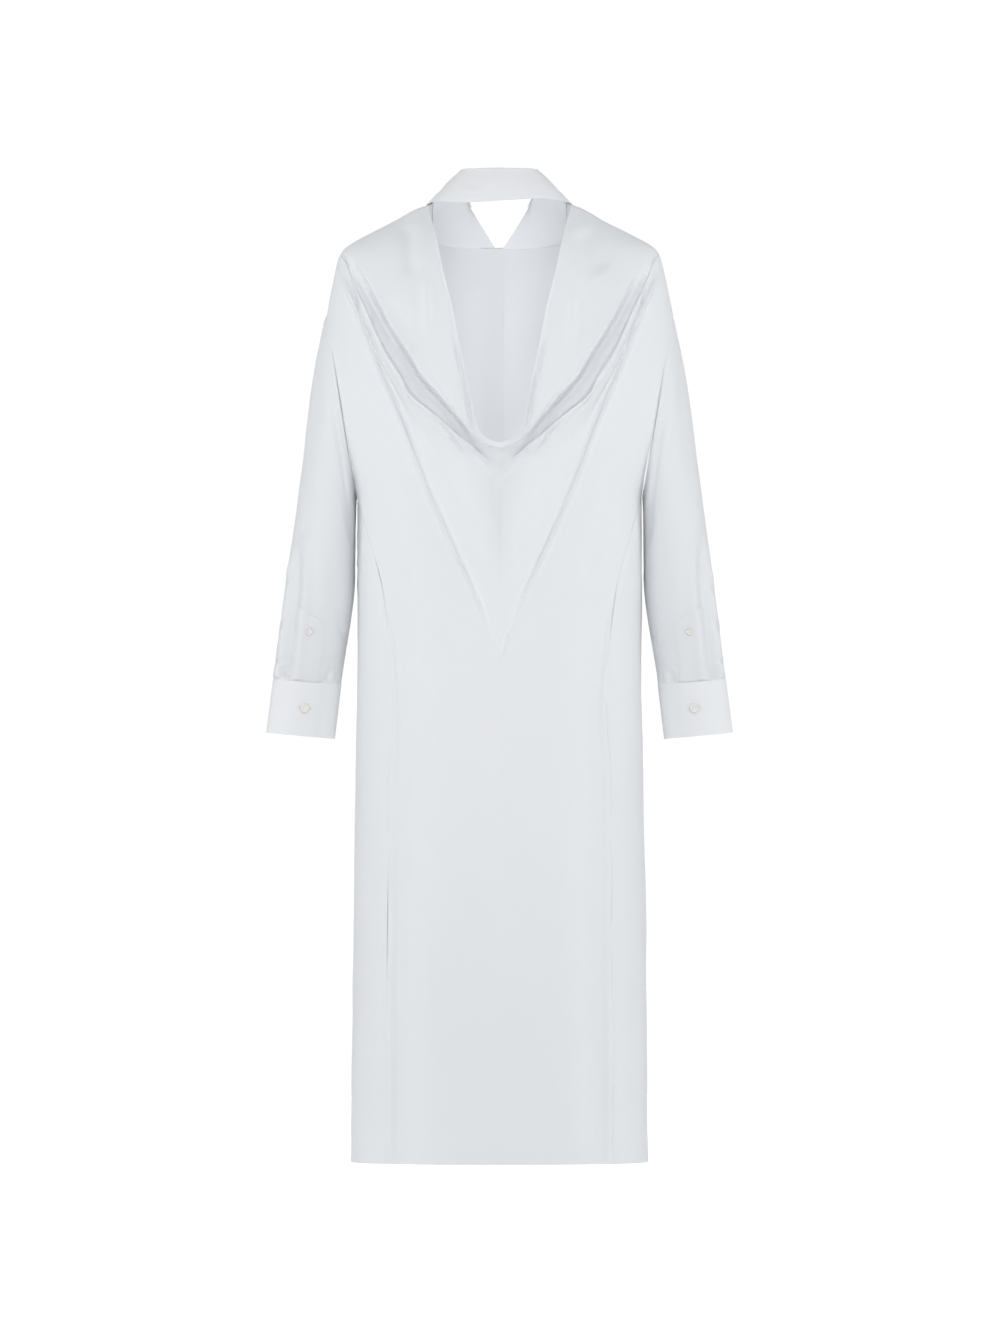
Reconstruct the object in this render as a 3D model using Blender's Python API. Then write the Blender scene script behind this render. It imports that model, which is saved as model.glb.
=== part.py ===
"""A long-sleeved shirt dress with an open, cowl-draped back, filled out as it is worn.

Metres, +Z up.  The back faces -Y and the front +Y; +X is the wearer's right.  The origin lies
midway between the two points where the shoulder seams meet the collar.  Every piece of cloth is a
closed wall, one named object for each piece that is cut and sewn on.  Neck, back opening, hem and
cuffs are open, and so are the armholes, where the sleeves meet the body.
"""

import math
from collections import namedtuple

import bmesh
import bpy
import numpy as np
from mathutils import Vector

# ---------------------------------------------------------------- driving dimensions (metres)

WALL = 0.0016                 # cloth of the body and the sleeves
BAND_WALL = 0.0018            # cuffs, collar stand and collar fall: two plies and an interlining
STRIP_WALL = 0.0010           # plackets
SEAM_GAP = 0.0003             # clear distance between two pieces at a seam
SEW_SHIFT = SEAM_GAP / 2.0    # each panel stops this far short of the seam it shares
SLEEVE_SHIFT = 0.0005         # and a sleeve this far short of the armhole, where walls meet at an angle
CORNER_CLEAR = 0.0007         # a panel's corner at the top of the armhole stays this far above it

HEM_Z = -1.2270               # level of the hem

ARMHOLE_TOP_Z = -0.1450       # where the shoulder seam ends
ARMHOLE_TOP_X = 0.2230
UNDERARM_Z = -0.3760
UNDERARM_X = 0.1820
ARMHOLE_BACK = 0.0660         # how far the armhole reaches behind the shoulder line
ARMHOLE_FRONT = 0.0600

LEFT_FRONT_EDGE = 0.0050      # how far each front runs past the centre line
RIGHT_FRONT_EDGE = 0.0230
LAP_RISE = 1.25 * (WALL + SEAM_GAP)   # the right front lies on the left one, on sloping cloth too
LAP_START = 0.0320            # the right front starts to rise here and is up at LAP_END
LAP_END = 0.0120
NECK_FADE = 0.1000            # depth over which the rows lose the shape of the neckline

FRONT_BUTTONS = 9
FRONT_BUTTON_TOP = -0.0780
FRONT_BUTTON_PITCH = 0.1080
FRONT_BUTTON_SIZE = 0.0115
CUFF_BUTTON_SIZE = 0.0120
PLACKET_BUTTON_SIZE = 0.0090
BUTTON_THICKNESS = 0.0024
BUTTON_BEVEL = 0.0007
BUTTON_SIDES = 10
SLOPE_STEP = 0.0100           # the cloth's slope under a button is taken over twice this height

ARMHOLE_STEPS = 10            # steps of the armhole seam on the back, and as many on the front
SLEEVE_SIDES = 2 * ARMHOLE_STEPS
SLEEVE_ROWS = 14
CUFF_ROWS = 3
CUFF_TURN = 395.0             # degrees that the cuff band wraps, its overlap included
CUFF_EDGE_ANGLE = 115.0       # where the outer ply ends, on the back of the wrist
CUFF_LAP = 38.0               # degrees over which the outer ply lies on the inner one
CUFF_LAP_EASE = 40.0          # degrees over which it comes down again
CUFF_STEPS = 30
CUFF_PROUD = 0.0006           # the cuff stands this far outside the sleeve

PLACKET_ANGLES = (54.0, 108.0)   # its two edges, each on one of the sleeve's own lines of points
PLACKET_START = 0.66          # share of the sleeve's length where its placket begins
PLACKET_BUTTON_AT = 0.28      # share of the placket's length
PLACKET_BUTTON_ANGLE = 84.0
CUFF_BUTTON_ANGLE = 92.0
CUFF_BUTTON_AT = 0.50         # share of the cuff's height

# ---------------------------------------------------------------- tables

Section = namedtuple("Section", "z half_width")
SHOULDERS = (                 # the shoulder line, from the collar to the armhole
    Section(0.000, 0.0862),
    Section(-0.006, 0.1050),
    Section(-0.022, 0.1350),
    Section(-0.037, 0.1650),
    Section(-0.052, 0.1920),
    Section(-0.060, 0.2015),
    Section(-0.073, 0.2080),
    Section(-0.099, 0.2140),
    Section(-0.124, 0.2190),
    Section(ARMHOLE_TOP_Z, ARMHOLE_TOP_X),
)
SIDES = (                     # the side of the skirt, from the underarm to the hem
    Section(UNDERARM_Z, UNDERARM_X),
    Section(-0.620, 0.1820),
    Section(-0.700, 0.1835),
    Section(-0.850, 0.1860),
    Section(-0.970, 0.1875),
    Section(-1.070, 0.1885),
    Section(HEM_Z, 0.1900),
)

Depth = namedtuple("Depth", "z back front rounding")
DEPTHS = (                    # how far the body reaches behind and before the shoulder line, and
    Depth(0.000, 0.020, 0.020, 2.4),      # the exponent of its section: 2 is an ellipse, and a
    Depth(-0.020, 0.040, 0.036, 2.4),     # higher one is boxier
    Depth(-0.040, 0.058, 0.055, 2.4),
    Depth(-0.056, 0.070, 0.0665, 2.4),
    Depth(-0.090, 0.086, 0.088, 2.4),
    Depth(-0.130, 0.097, 0.103, 2.4),
    Depth(-0.200, 0.106, 0.118, 2.5),
    Depth(-0.280, 0.109, 0.121, 2.9),
    Depth(-0.350, 0.106, 0.117, 3.4),
    Depth(-0.420, 0.103, 0.111, 3.3),
    Depth(-0.550, 0.108, 0.109, 2.8),
    Depth(-0.680, 0.116, 0.112, 2.5),
    Depth(-0.900, 0.116, 0.116, 2.4),
    Depth(HEM_Z, 0.112, 0.118, 2.4),
)

Seam = namedtuple("Seam", "z x")
BACK_SIDE_SEAM = (            # the fronts wrap round the sides as far as this line on the back
    Seam(UNDERARM_Z, UNDERARM_X),
    Seam(-0.393, 0.1770),
    Seam(-0.440, 0.1640),
    Seam(-0.495, 0.1500),
    Seam(-0.573, 0.1400),
    Seam(-0.646, 0.1360),
    Seam(-0.760, 0.1430),
    Seam(HEM_Z, 0.1440),
)

Point = namedtuple("Point", "x z")
NECKLINE = (                  # the fronts' top edge, from the centre to the shoulder seam
    Point(0.0050, -0.0560),
    Point(0.0300, -0.0555),
    Point(0.0600, -0.0525),
    Point(0.0740, -0.0475),
    Point(0.0820, -0.0360),
    Point(0.0850, -0.0200),
    Point(0.0858, -0.0080),
    Point(0.0862, 0.0000),
)

# The back is a fan of lines.  Each runs from the centre up to the shoulder seam, and its lifts say
# how far the cloth stands out from the body there, at even steps from the centre to the seam.
FoldLine = namedtuple("FoldLine", "name rows points lifts")
BACK_EDGE_POINTS = (
    Point(0.000, -0.3080), Point(0.012, -0.3050), Point(0.024, -0.2940), Point(0.032, -0.2740),
    Point(0.039, -0.2360), Point(0.048, -0.1960), Point(0.0595, -0.1370), Point(0.070, -0.0920),
    Point(0.078, -0.0450), Point(0.0858, -0.0020),
)
FIRST_ROLL_POINTS = (
    Point(0.000, -0.3170), Point(0.018, -0.3130), Point(0.037, -0.3010), Point(0.058, -0.2790),
    Point(0.078, -0.2530), Point(0.102, -0.2250), Point(0.120, -0.1960), Point(0.138, -0.1640),
    Point(0.153, -0.1370), Point(0.170, -0.1020), Point(0.186, -0.0770), Point(0.2005, -0.0590),
)
FIRST_GROOVE_POINTS = (
    Point(0.000, -0.3260), Point(0.020, -0.3200), Point(0.040, -0.3070), Point(0.0615, -0.2850),
    Point(0.082, -0.2590), Point(0.106, -0.2300), Point(0.124, -0.2000), Point(0.142, -0.1680),
    Point(0.157, -0.1400), Point(0.174, -0.1050), Point(0.189, -0.0800), Point(0.2030, -0.0620),
)
SECOND_ROLL_POINTS = (
    Point(0.000, -0.3420), Point(0.017, -0.3290), Point(0.034, -0.3150), Point(0.067, -0.2860),
    Point(0.088, -0.2700), Point(0.108, -0.2520), Point(0.128, -0.2230), Point(0.144, -0.1950),
    Point(0.161, -0.1610), Point(0.179, -0.1210), Point(0.193, -0.0890), Point(0.2045, -0.0650),
)
SECOND_GROOVE_POINTS = (
    Point(0.000, -0.3620), Point(0.020, -0.3480), Point(0.044, -0.3280), Point(0.066, -0.3010),
    Point(0.088, -0.2790), Point(0.112, -0.2560), Point(0.133, -0.2290), Point(0.150, -0.1980),
    Point(0.166, -0.1660), Point(0.184, -0.1250), Point(0.1975, -0.0920), Point(0.2058, -0.0680),
)
SWELL_POINTS = (
    Point(0.000, -0.4550), Point(0.022, -0.4250), Point(0.046, -0.3850), Point(0.068, -0.3480),
    Point(0.090, -0.3130), Point(0.114, -0.2770), Point(0.135, -0.2390), Point(0.153, -0.2030),
    Point(0.169, -0.1680), Point(0.187, -0.1280), Point(0.2000, -0.0960), Point(0.2068, -0.0710),
)
LONG_VALLEY_POINTS = (
    Point(0.000, -0.5800), Point(0.010, -0.5550), Point(0.025, -0.5150), Point(0.051, -0.4510),
    Point(0.076, -0.3930), Point(0.102, -0.3380), Point(0.126, -0.2800), Point(0.147, -0.2280),
    Point(0.172, -0.1690), Point(0.1925, -0.1250), Point(0.2029, -0.1000), Point(0.2085, -0.0760),
)
BACK_FOLDS = (
    FoldLine("neck edge", 5, BACK_EDGE_POINTS, (0.0100, 0.0040, 0.0020, 0.0000, 0.0000)),
    FoldLine("first roll", 1, FIRST_ROLL_POINTS, (0.0110, 0.0170, 0.0150, 0.0100, 0.0020)),
    FoldLine("first groove", 2, FIRST_GROOVE_POINTS, (0.0000, 0.0010, -0.0010, -0.0020, 0.0000)),
    FoldLine("second roll", 1, SECOND_ROLL_POINTS, (-0.0010, 0.0110, 0.0100, 0.0040, 0.0010)),
    FoldLine("second groove", 2, SECOND_GROOVE_POINTS, (0.0000, 0.0060, 0.0050, 0.0000, 0.0000)),
    FoldLine("swell", 3, SWELL_POINTS, (0.0050, 0.0120, 0.0110, 0.0060, 0.0010)),
    FoldLine("long valley", 0, LONG_VALLEY_POINTS, (0.0030, 0.0010, -0.0020, -0.0040, 0.0000)),
)
SIDE_LEVELS = (               # where the rows of the back and the fronts meet on the side seam
    -0.393, -0.420, -0.457, -0.500, -0.550, -0.600, -0.650, -0.710, -0.800, -0.920, -1.070, HEM_Z,
)
RowEnds = namedtuple("RowEnds", "edge centre")
SKIRT_ROWS = (                # a row that ends at this level on the back's edge starts here
    RowEnds(-0.076, LONG_VALLEY_POINTS[0].z),
    RowEnds(ARMHOLE_TOP_Z, -0.590),
    RowEnds(-0.260, -0.608),
    RowEnds(UNDERARM_Z, -0.628),
    RowEnds(-0.457, -0.665),
    RowEnds(-0.573, -0.725),
    RowEnds(-0.700, -0.800),
    RowEnds(-0.850, -0.905),
    RowEnds(-1.000, -1.020),
    RowEnds(HEM_Z, HEM_Z),
)
SHOULDER_LEVELS = (-0.096, -0.120)   # rows below the long valley that end above the armhole
SKIRT_SWELL = 0.0048          # how far the skirt stands out just below the long valley
SWELL_FADE = 5                # powers: how soon that swell, the long valley's bow and its lift
BOW_FADE = 6                  # fade out towards the hem
LIFT_FADE = 12
SEAM_PULL = 6                 # and how close to the seam a fold's end is drawn onto the shoulder
BACK_COLUMNS = 15             # for half of the back
LAST_BACK_COLUMN = 0.988      # and one more close to the seam

FRONT_TOP_LEVELS = (          # rows of a front that end on the shoulder seam
    0.000, -0.005, -0.016, -0.034, -0.051, -0.062, -0.080, -0.110,
)
FRONT_COLUMNS = 9

SleeveSection = namedtuple("SleeveSection", "outer inner back front")
SLEEVE = (                    # outer and inner are the two ends of a section, seen from behind
    SleeveSection(Point(0.2230, -0.1450), Point(0.1822, -0.3760), 0.0660, 0.0600),
    SleeveSection(Point(0.2345, -0.2000), Point(0.1834, -0.3950), 0.0660, 0.0600),
    SleeveSection(Point(0.2435, -0.2550), Point(0.1838, -0.4200), 0.0630, 0.0570),
    SleeveSection(Point(0.2515, -0.3250), Point(0.1840, -0.4520), 0.0580, 0.0530),
    SleeveSection(Point(0.2605, -0.3930), Point(0.1846, -0.4880), 0.0520, 0.0480),
    SleeveSection(Point(0.2700, -0.4620), Point(0.1895, -0.5330), 0.0460, 0.0430),
    SleeveSection(Point(0.2790, -0.5270), Point(0.1960, -0.5730), 0.0400, 0.0370),
    SleeveSection(Point(0.2868, -0.5880), Point(0.2003, -0.6000), 0.0310, 0.0300),
    SleeveSection(Point(0.2895, -0.6090), Point(0.2025, -0.6160), 0.0260, 0.0250),
)
CUFF = (
    SleeveSection(Point(0.2896, -0.6094), Point(0.2026, -0.6164), 0.0260, 0.0250),
    SleeveSection(Point(0.2985, -0.6780), Point(0.2110, -0.6860), 0.0220, 0.0210),
)

CollarStation = namedtuple("CollarStation", "at seam fold edge")
COLLAR = (                    # at: 0 at the opening in front, 1 at the shoulder seam, 2 at the back
    CollarStation(0.00, None, (0.0390, 0.0680, -0.0020), (0.0640, None, -0.0800)),
    CollarStation(0.29, None, (0.0435, 0.0560, 0.0080), (0.0780, None, -0.0640)),
    CollarStation(0.54, None, (0.0475, 0.0400, 0.0190), (0.0880, None, -0.0470)),
    CollarStation(0.69, None, (0.0500, 0.0230, 0.0290), (0.0950, None, -0.0270)),
    CollarStation(0.83, None, (0.0505, 0.0060, 0.0365), (0.0925, 0.0130, -0.0010)),
    CollarStation(1.00, (0.0862, 0.0000, 0.0006), (0.0500, -0.0130, 0.0405), (0.0880, -0.0120, 0.0025)),
    CollarStation(1.30, (0.0745, -0.0300, 0.0060), (0.0455, -0.0310, 0.0420), (0.0785, -0.0390, 0.0010)),
    CollarStation(1.65, (0.0430, -0.0490, 0.0070), (0.0290, -0.0470, 0.0425), (0.0500, -0.0630, 0.0005)),
    CollarStation(2.00, (0.0000, -0.0560, 0.0070), (0.0000, -0.0560, 0.0425), (0.0000, -0.0740, 0.0005)),
)
COLLAR_CLEAR = 0.0040         # how far the fall's edge stays above the shoulders and the chest
COLLAR_LAP_AT = 0.22          # place along the collar of the fronts' column at LAP_START
COLLAR_SEAM_GAP = 0.0004      # clear distance between the stand and the neckline below it
COLLAR_BACK_STEPS = 6         # from the shoulder seam to the centre of the back
COLLAR_ROWS = 3
FALL_BELLY = 0.0012           # how far the fall bulges between its fold and its edge

COTTON = ((0.86, 0.87, 0.885), 0.85)
SHELL_BUTTON = ((0.82, 0.81, 0.79), 0.30)
SHARP_ANGLE = math.radians(50.0)


# ---------------------------------------------------------------- curves

def smooth_value(stations, values, at):
    """The value at one station of a smooth curve that never overshoots its table."""
    s = np.asarray(stations, float)
    v = np.asarray(values, float)
    if s[0] > s[-1]:
        s, v = s[::-1], v[::-1]
    at = min(max(at, s[0]), s[-1])
    step = np.diff(s)
    slope = np.diff(v) / step
    tangent = np.empty(len(s))
    tangent[0], tangent[-1] = slope[0], slope[-1]
    for i in range(1, len(s) - 1):
        same_way = slope[i - 1] * slope[i] > 0.0
        tangent[i] = 2.0 * slope[i - 1] * slope[i] / (slope[i - 1] + slope[i]) if same_way else 0.0
    i = min(int(np.searchsorted(s, at, side="right")) - 1, len(s) - 2)
    t = (at - s[i]) / step[i]
    return float(
        v[i] * (1 + 2 * t) * (1 - t) ** 2 + v[i + 1] * t * t * (3 - 2 * t)
        + step[i] * (tangent[i] * t * (1 - t) ** 2 - tangent[i + 1] * t * t * (1 - t))
    )


def column(table, name, at, key="z"):
    """Read one named column of a table at a level between its rows."""
    return smooth_value([getattr(r, key) for r in table], [getattr(r, name) for r in table], at)


def along(points, share):
    """The point at a share of the length of a smooth curve through some points."""
    pts = np.asarray(points, float)
    length = np.concatenate(([0.0], np.cumsum(np.linalg.norm(np.diff(pts, axis=0), axis=1))))
    return np.array([smooth_value(length / length[-1], pts[:, k], share) for k in range(pts.shape[1])])


def ease(t):
    """0 below 0, 1 above 1 and a soft step between."""
    t = min(max(t, 0.0), 1.0)
    return t * t * (3.0 - 2.0 * t)


def hump(t, power):
    """0 at both ends of 0 to 1, and 1 at its peak, which lies nearer 0 for a higher power."""
    peak = 1.0 / (power + 1.0)
    return t * (1.0 - t) ** power / (peak * (1.0 - peak) ** power)


def unit(v):
    return v / np.linalg.norm(v)


# ---------------------------------------------------------------- the body's form

def armhole_share(z):
    """0 at the middle of the armhole's height, 1 at its top and at the underarm."""
    middle = (ARMHOLE_TOP_Z + UNDERARM_Z) / 2.0
    return abs(z - middle) / (ARMHOLE_TOP_Z - middle)


def armhole_x(z):
    share = (z - UNDERARM_Z) / (ARMHOLE_TOP_Z - UNDERARM_Z)
    return UNDERARM_X + (ARMHOLE_TOP_X - UNDERARM_X) * share


def armhole_levels():
    """The levels of the armhole seam's points, from its top to the underarm."""
    middle = (ARMHOLE_TOP_Z + UNDERARM_Z) / 2.0
    half = ARMHOLE_TOP_Z - middle
    return [middle + half * math.cos(math.pi * k / ARMHOLE_STEPS) for k in range(ARMHOLE_STEPS + 1)]


def armhole_fill(z, reach, depth):
    """How much of the section's half-width lies inside the armhole seam."""
    out = reach * math.sqrt(max(1.0 - armhole_share(z) ** 2, 0.0)) / depth
    return (1.0 - out ** rounding(z)) ** (1.0 / rounding(z))


def depth(z, front):
    return column(DEPTHS, "front" if front else "back", z)


def rounding(z):
    return column(DEPTHS, "rounding", z)


def half_width(z, front):
    if z >= ARMHOLE_TOP_Z:
        return column(SHOULDERS, "half_width", z)
    if z <= UNDERARM_Z:
        return column(SIDES, "half_width", z)
    reach = ARMHOLE_FRONT if front else ARMHOLE_BACK
    return armhole_x(z) / armhole_fill(z, reach, depth(z, front))


def body_point(angle, z):
    """A point of the body: angle 0 at the centre front, 90 degrees at the side, 180 at the back."""
    front = math.cos(angle) >= 0.0
    s, c = math.sin(angle), math.cos(angle)
    power = 2.0 / rounding(z)
    return np.array([
        half_width(z, front) * math.copysign(abs(s) ** power, s),
        depth(z, front) * math.copysign(abs(c) ** power, c),
        z,
    ])


def angle_at(x, z):
    """The angle of the front's point that lies x from the centre line."""
    share = min(abs(x) / half_width(z, True), 1.0)
    return math.copysign(math.asin(share ** (rounding(z) / 2.0)), x)


def front_y(x, z):
    return body_point(angle_at(x, z), z)[1]


def back_y(x, z):
    share = min(abs(x) / half_width(z, False), 1.0)
    return -depth(z, False) * (1.0 - share ** rounding(z)) ** (1.0 / rounding(z))


def back_outer_x(z):
    """The back's outer edge: shoulder seam, armhole, then the side seam on the back."""
    if z >= ARMHOLE_TOP_Z:
        return half_width(z, False)
    if z >= UNDERARM_Z:
        return armhole_x(z)
    return column(BACK_SIDE_SEAM, "x", z)


def front_outer_angle(z):
    """The front's outer edge: shoulder seam, armhole, then the side seam on the back."""
    if z >= ARMHOLE_TOP_Z:
        return math.pi / 2.0
    if z >= UNDERARM_Z:
        return angle_at(armhole_x(z), z)
    share = column(BACK_SIDE_SEAM, "x", z) / half_width(z, False)
    return math.pi - math.asin(min(share, 1.0) ** (rounding(z) / 2.0))


# ---------------------------------------------------------------- walls

def grid_normals(grid, wrap=False, flip=False):
    """Normals at the points of a grid, the mean of the cells round each point."""
    if wrap:
        grid = np.concatenate((grid, grid[:, :1]), axis=1)
    cells = np.cross(grid[1:, 1:] - grid[:-1, :-1], grid[:-1, 1:] - grid[1:, :-1])
    cells = cells / np.linalg.norm(cells, axis=2, keepdims=True)
    normals = np.zeros(grid.shape)
    for rows in (slice(0, -1), slice(1, None)):
        for columns in (slice(0, -1), slice(1, None)):
            normals[rows, columns] += cells
    if wrap:
        normals[:, 0] += normals[:, -1]
        normals = normals[:, :-1]
    normals = normals / np.linalg.norm(normals, axis=2, keepdims=True)
    return -normals if flip else normals


def keep_in_shoulder_plane(normals, rows):
    """At the shoulder seam both panels' walls stand square to the seam."""
    normals[rows, 1] = 0.0
    normals[rows] /= np.linalg.norm(normals[rows], axis=1, keepdims=True)


def draw_back(edge, beside, distance=SEW_SHIFT):
    """Shorten a panel at its seam: its edge moves square to the seam, towards the points beside it."""
    way = beside - edge
    seam = np.gradient(edge, axis=0)
    seam /= np.linalg.norm(seam, axis=1, keepdims=True)
    way -= seam * np.sum(way * seam, axis=1, keepdims=True)
    return edge + way / np.linalg.norm(way, axis=1, keepdims=True) * distance


def shoulder_corner(y):
    """A panel's corner where its shoulder seam meets the armhole, kept clear of the sleeve."""
    z = ARMHOLE_TOP_Z + CORNER_CLEAR
    return np.array([half_width(z, False), y, z])


def make_material(name, finish):
    colour, roughness = finish
    material = bpy.data.materials.new(name)
    material.use_nodes = True
    shader = material.node_tree.nodes["Principled BSDF"]
    shader.inputs["Base Color"].default_value = (*colour, 1.0)
    shader.inputs["Roughness"].default_value = roughness
    shader.inputs["Metallic"].default_value = 0.0
    material.diffuse_color = (*colour, 1.0)
    return material


def add_object(collection, name, mesh, finish):
    mesh.materials.append(make_material(name + "_finish", finish))
    piece = bpy.data.objects.new(name, mesh)
    collection.objects.link(piece)
    return piece


def wall(collection, name, outer, inner, wrap=False, finish=COTTON):
    """A closed wall between two grids of points, lofted cell by cell.

    Both skins split a cell along the diagonal that is shorter on the outer one, so that they
    stay parallel where the cells are skewed.
    """
    rows, columns = outer.shape[:2]
    last = columns if wrap else columns - 1
    bm = bmesh.new()
    out, back = [[[bm.verts.new(p) for p in row] for row in grid] for grid in (outer, inner)]
    for i in range(rows - 1):
        for j in range(last):
            k = (j + 1) % columns
            corners = ((i, j), (i + 1, j), (i + 1, k), (i, k))
            falling = np.linalg.norm(outer[i, j] - outer[i + 1, k])
            rising = np.linalg.norm(outer[i + 1, j] - outer[i, k])
            if rising < falling:
                corners = corners[1:] + corners[:1]
            a, b, c, d = corners
            for side in ((a, b, c), (a, c, d)):
                bm.faces.new([out[m][n] for m, n in side])
                bm.faces.new([back[m][n] for m, n in reversed(side)])
    for j in range(last):
        k = (j + 1) % columns
        for i in (0, rows - 1):
            bm.faces.new((out[i][j], out[i][k], back[i][k], back[i][j]))
    if not wrap:
        for i in range(rows - 1):
            for j in (0, columns - 1):
                bm.faces.new((out[i][j], out[i + 1][j], back[i + 1][j], back[i][j]))
    bmesh.ops.recalc_face_normals(bm, faces=bm.faces)
    mesh = bpy.data.meshes.new(name)
    bm.to_mesh(mesh)
    bm.free()
    mesh.shade_smooth()
    mesh.set_sharp_from_angle(angle=SHARP_ANGLE)
    return add_object(collection, name, mesh, finish)


def mirrored(grid):
    """The same grid on the other side of the body, its columns turned round."""
    return (grid * np.array([-1.0, 1.0, 1.0]))[:, ::-1]


# ---------------------------------------------------------------- back

def back_columns():
    """Shares of a row's length from the centre, closer together at both ends."""
    even = np.linspace(0.0, 1.0, BACK_COLUMNS)
    crowded = (1.0 - np.cos(math.pi * even)) / 2.0
    return np.sort(np.append((even + crowded) / 2.0, LAST_BACK_COLUMN))


def fold_row(fold, shares):
    points = [along(fold.points, s) for s in shares]
    lifts = [smooth_value(np.linspace(0.0, 1.0, len(fold.lifts)), fold.lifts, s) for s in shares]
    return np.column_stack((points, lifts))


def skirt_rows(valley, shares):
    """The rows below the long valley: nearly straight, from the centre up to the seams."""
    levels = [*SHOULDER_LEVELS, *armhole_levels(), *SIDE_LEVELS]
    bow = valley[:, :2] - np.outer(1 - shares, valley[0, :2]) - np.outer(shares, valley[-1, :2])
    top, span = SKIRT_ROWS[0].centre, SKIRT_ROWS[0].centre - HEM_Z
    rows = []
    for level in levels:
        centre = column(SKIRT_ROWS, "centre", level, key="edge")
        down = (top - centre) / span
        line = np.outer(1 - shares, (0.0, centre)) + np.outer(shares, (back_outer_x(level), level))
        line += bow * (1 - down) ** BOW_FADE
        swell = SKIRT_SWELL * np.sin(math.pi * shares) * hump(down, SWELL_FADE)
        rows.append(np.column_stack((line, swell + valley[:, 2] * (1 - down) ** LIFT_FADE)))
    return np.array(rows)


def back_grid():
    """Half of the back, its rows from the neck edge to the hem, its columns from the centre."""
    shares = back_columns()
    rows = []
    for fold, below in zip(BACK_FOLDS, BACK_FOLDS[1:]):
        first, last = fold_row(fold, shares), fold_row(below, shares)
        for i in range(fold.rows):
            t = i / fold.rows
            rows.append((1 - t) * first + t * last)
    valley = fold_row(BACK_FOLDS[-1], shares)
    rows.append(valley)
    for row in rows:
        row[:, 0] += (half_width(row[-1, 1], False) - row[-1, 0]) * shares ** SEAM_PULL
    rows = np.concatenate((np.array(rows), skirt_rows(valley, shares)))
    grid = np.empty(rows.shape)
    for i, row in enumerate(rows):
        for j, (x, z, lift) in enumerate(row):
            grid[i, j] = (x, back_y(x, z) - lift, z)
    return grid


def build_back(collection):
    half = back_grid()
    level = half[:, -1, 2].copy()
    on_shoulder = level >= ARMHOLE_TOP_Z
    half[:, -1] = draw_back(half[:, -1], half[:, -2])
    half[on_shoulder, -1, 1] = -SEW_SHIFT
    half[int(np.argmin(abs(level - ARMHOLE_TOP_Z))), -1] = shoulder_corner(-SEW_SHIFT)
    grid = np.concatenate((half[:, :0:-1] * np.array([-1.0, 1.0, 1.0]), half), axis=1)
    normals = grid_normals(grid)
    for j in (0, -1):
        keep_in_shoulder_plane(normals[:, j], on_shoulder)
    return wall(collection, "back", grid, grid - normals * WALL)


# ---------------------------------------------------------------- fronts

def front_levels():
    return [*FRONT_TOP_LEVELS, *armhole_levels(), *SIDE_LEVELS]


def centre_level(z_out):
    """The level on the centre line of the row that ends at a level on the outer edge."""
    fade = math.exp(z_out / NECK_FADE) if z_out > 2.0 * UNDERARM_Z else 0.0
    return z_out + NECKLINE[0].z * fade, fade


def front_grid(lap_columns, lap):
    """One front, made for +X: its columns in the overlap, then even ones round to the seam."""
    shares = np.linspace(0.0, 1.0, FRONT_COLUMNS)
    neck = []
    for s in shares:
        x, z = along(NECKLINE, s)
        neck.append((angle_at(x, z), z))
    neck = np.array(neck)
    bow = neck - np.outer(1 - shares, neck[0]) - np.outer(shares, neck[-1])
    levels = front_levels()
    grid = np.empty((len(levels), len(lap_columns) + FRONT_COLUMNS, 3))
    for i, z_out in enumerate(levels):
        z_in, fade = centre_level(z_out)
        start = np.array([angle_at(LAP_START, z_in), z_in])
        end = np.array([front_outer_angle(z_out), z_out])
        line = np.outer(1 - shares, start) + np.outer(shares, end) + fade * bow
        line = [(angle_at(x, z_in), z_in) for x in lap_columns] + list(line)
        for j, (angle, z) in enumerate(line):
            grid[i, j] = body_point(angle, z)
            grid[i, j, 1] += lap * ease((LAP_START - grid[i, j, 0]) / (LAP_START - LAP_END))
    return grid


def front_walls(lap_columns, lap):
    grid = front_grid(lap_columns, lap)
    on_shoulder = np.array(front_levels()) >= ARMHOLE_TOP_Z
    grid[:, -1] = draw_back(grid[:, -1], grid[:, -2])
    grid[on_shoulder, -1, 1] = SEW_SHIFT
    grid[len(FRONT_TOP_LEVELS), -1] = shoulder_corner(SEW_SHIFT)
    normals = grid_normals(grid, flip=True)
    keep_in_shoulder_plane(normals[:, -1], on_shoulder)
    return grid, grid - normals * WALL


def overlap_columns():
    """Where both fronts and the placket have their columns: the overlap's edges and middle."""
    return np.linspace(-RIGHT_FRONT_EDGE, LEFT_FRONT_EDGE, 3)


def build_fronts(collection):
    outer, inner = front_walls([*overlap_columns(), LAP_END], LAP_RISE)
    wall(collection, "front_right", outer, inner)
    outer, inner = front_walls(-overlap_columns()[::-1], 0.0)
    wall(collection, "front_left", mirrored(outer), mirrored(inner))


def placket_point(x, z, out):
    """A point on the right front near its edge, moved out from the cloth."""
    return np.array([x, front_y(x, z) + LAP_RISE + out, z])


def build_front_placket(collection):
    levels = [centre_level(z)[0] for z in front_levels()]
    skins = []
    for out in (SEAM_GAP + STRIP_WALL, SEAM_GAP):
        skins.append(np.array([[placket_point(x, z, out) for x in overlap_columns()] for z in levels]))
    wall(collection, "front_placket", *skins)


# ---------------------------------------------------------------- sleeves and cuffs

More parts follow.
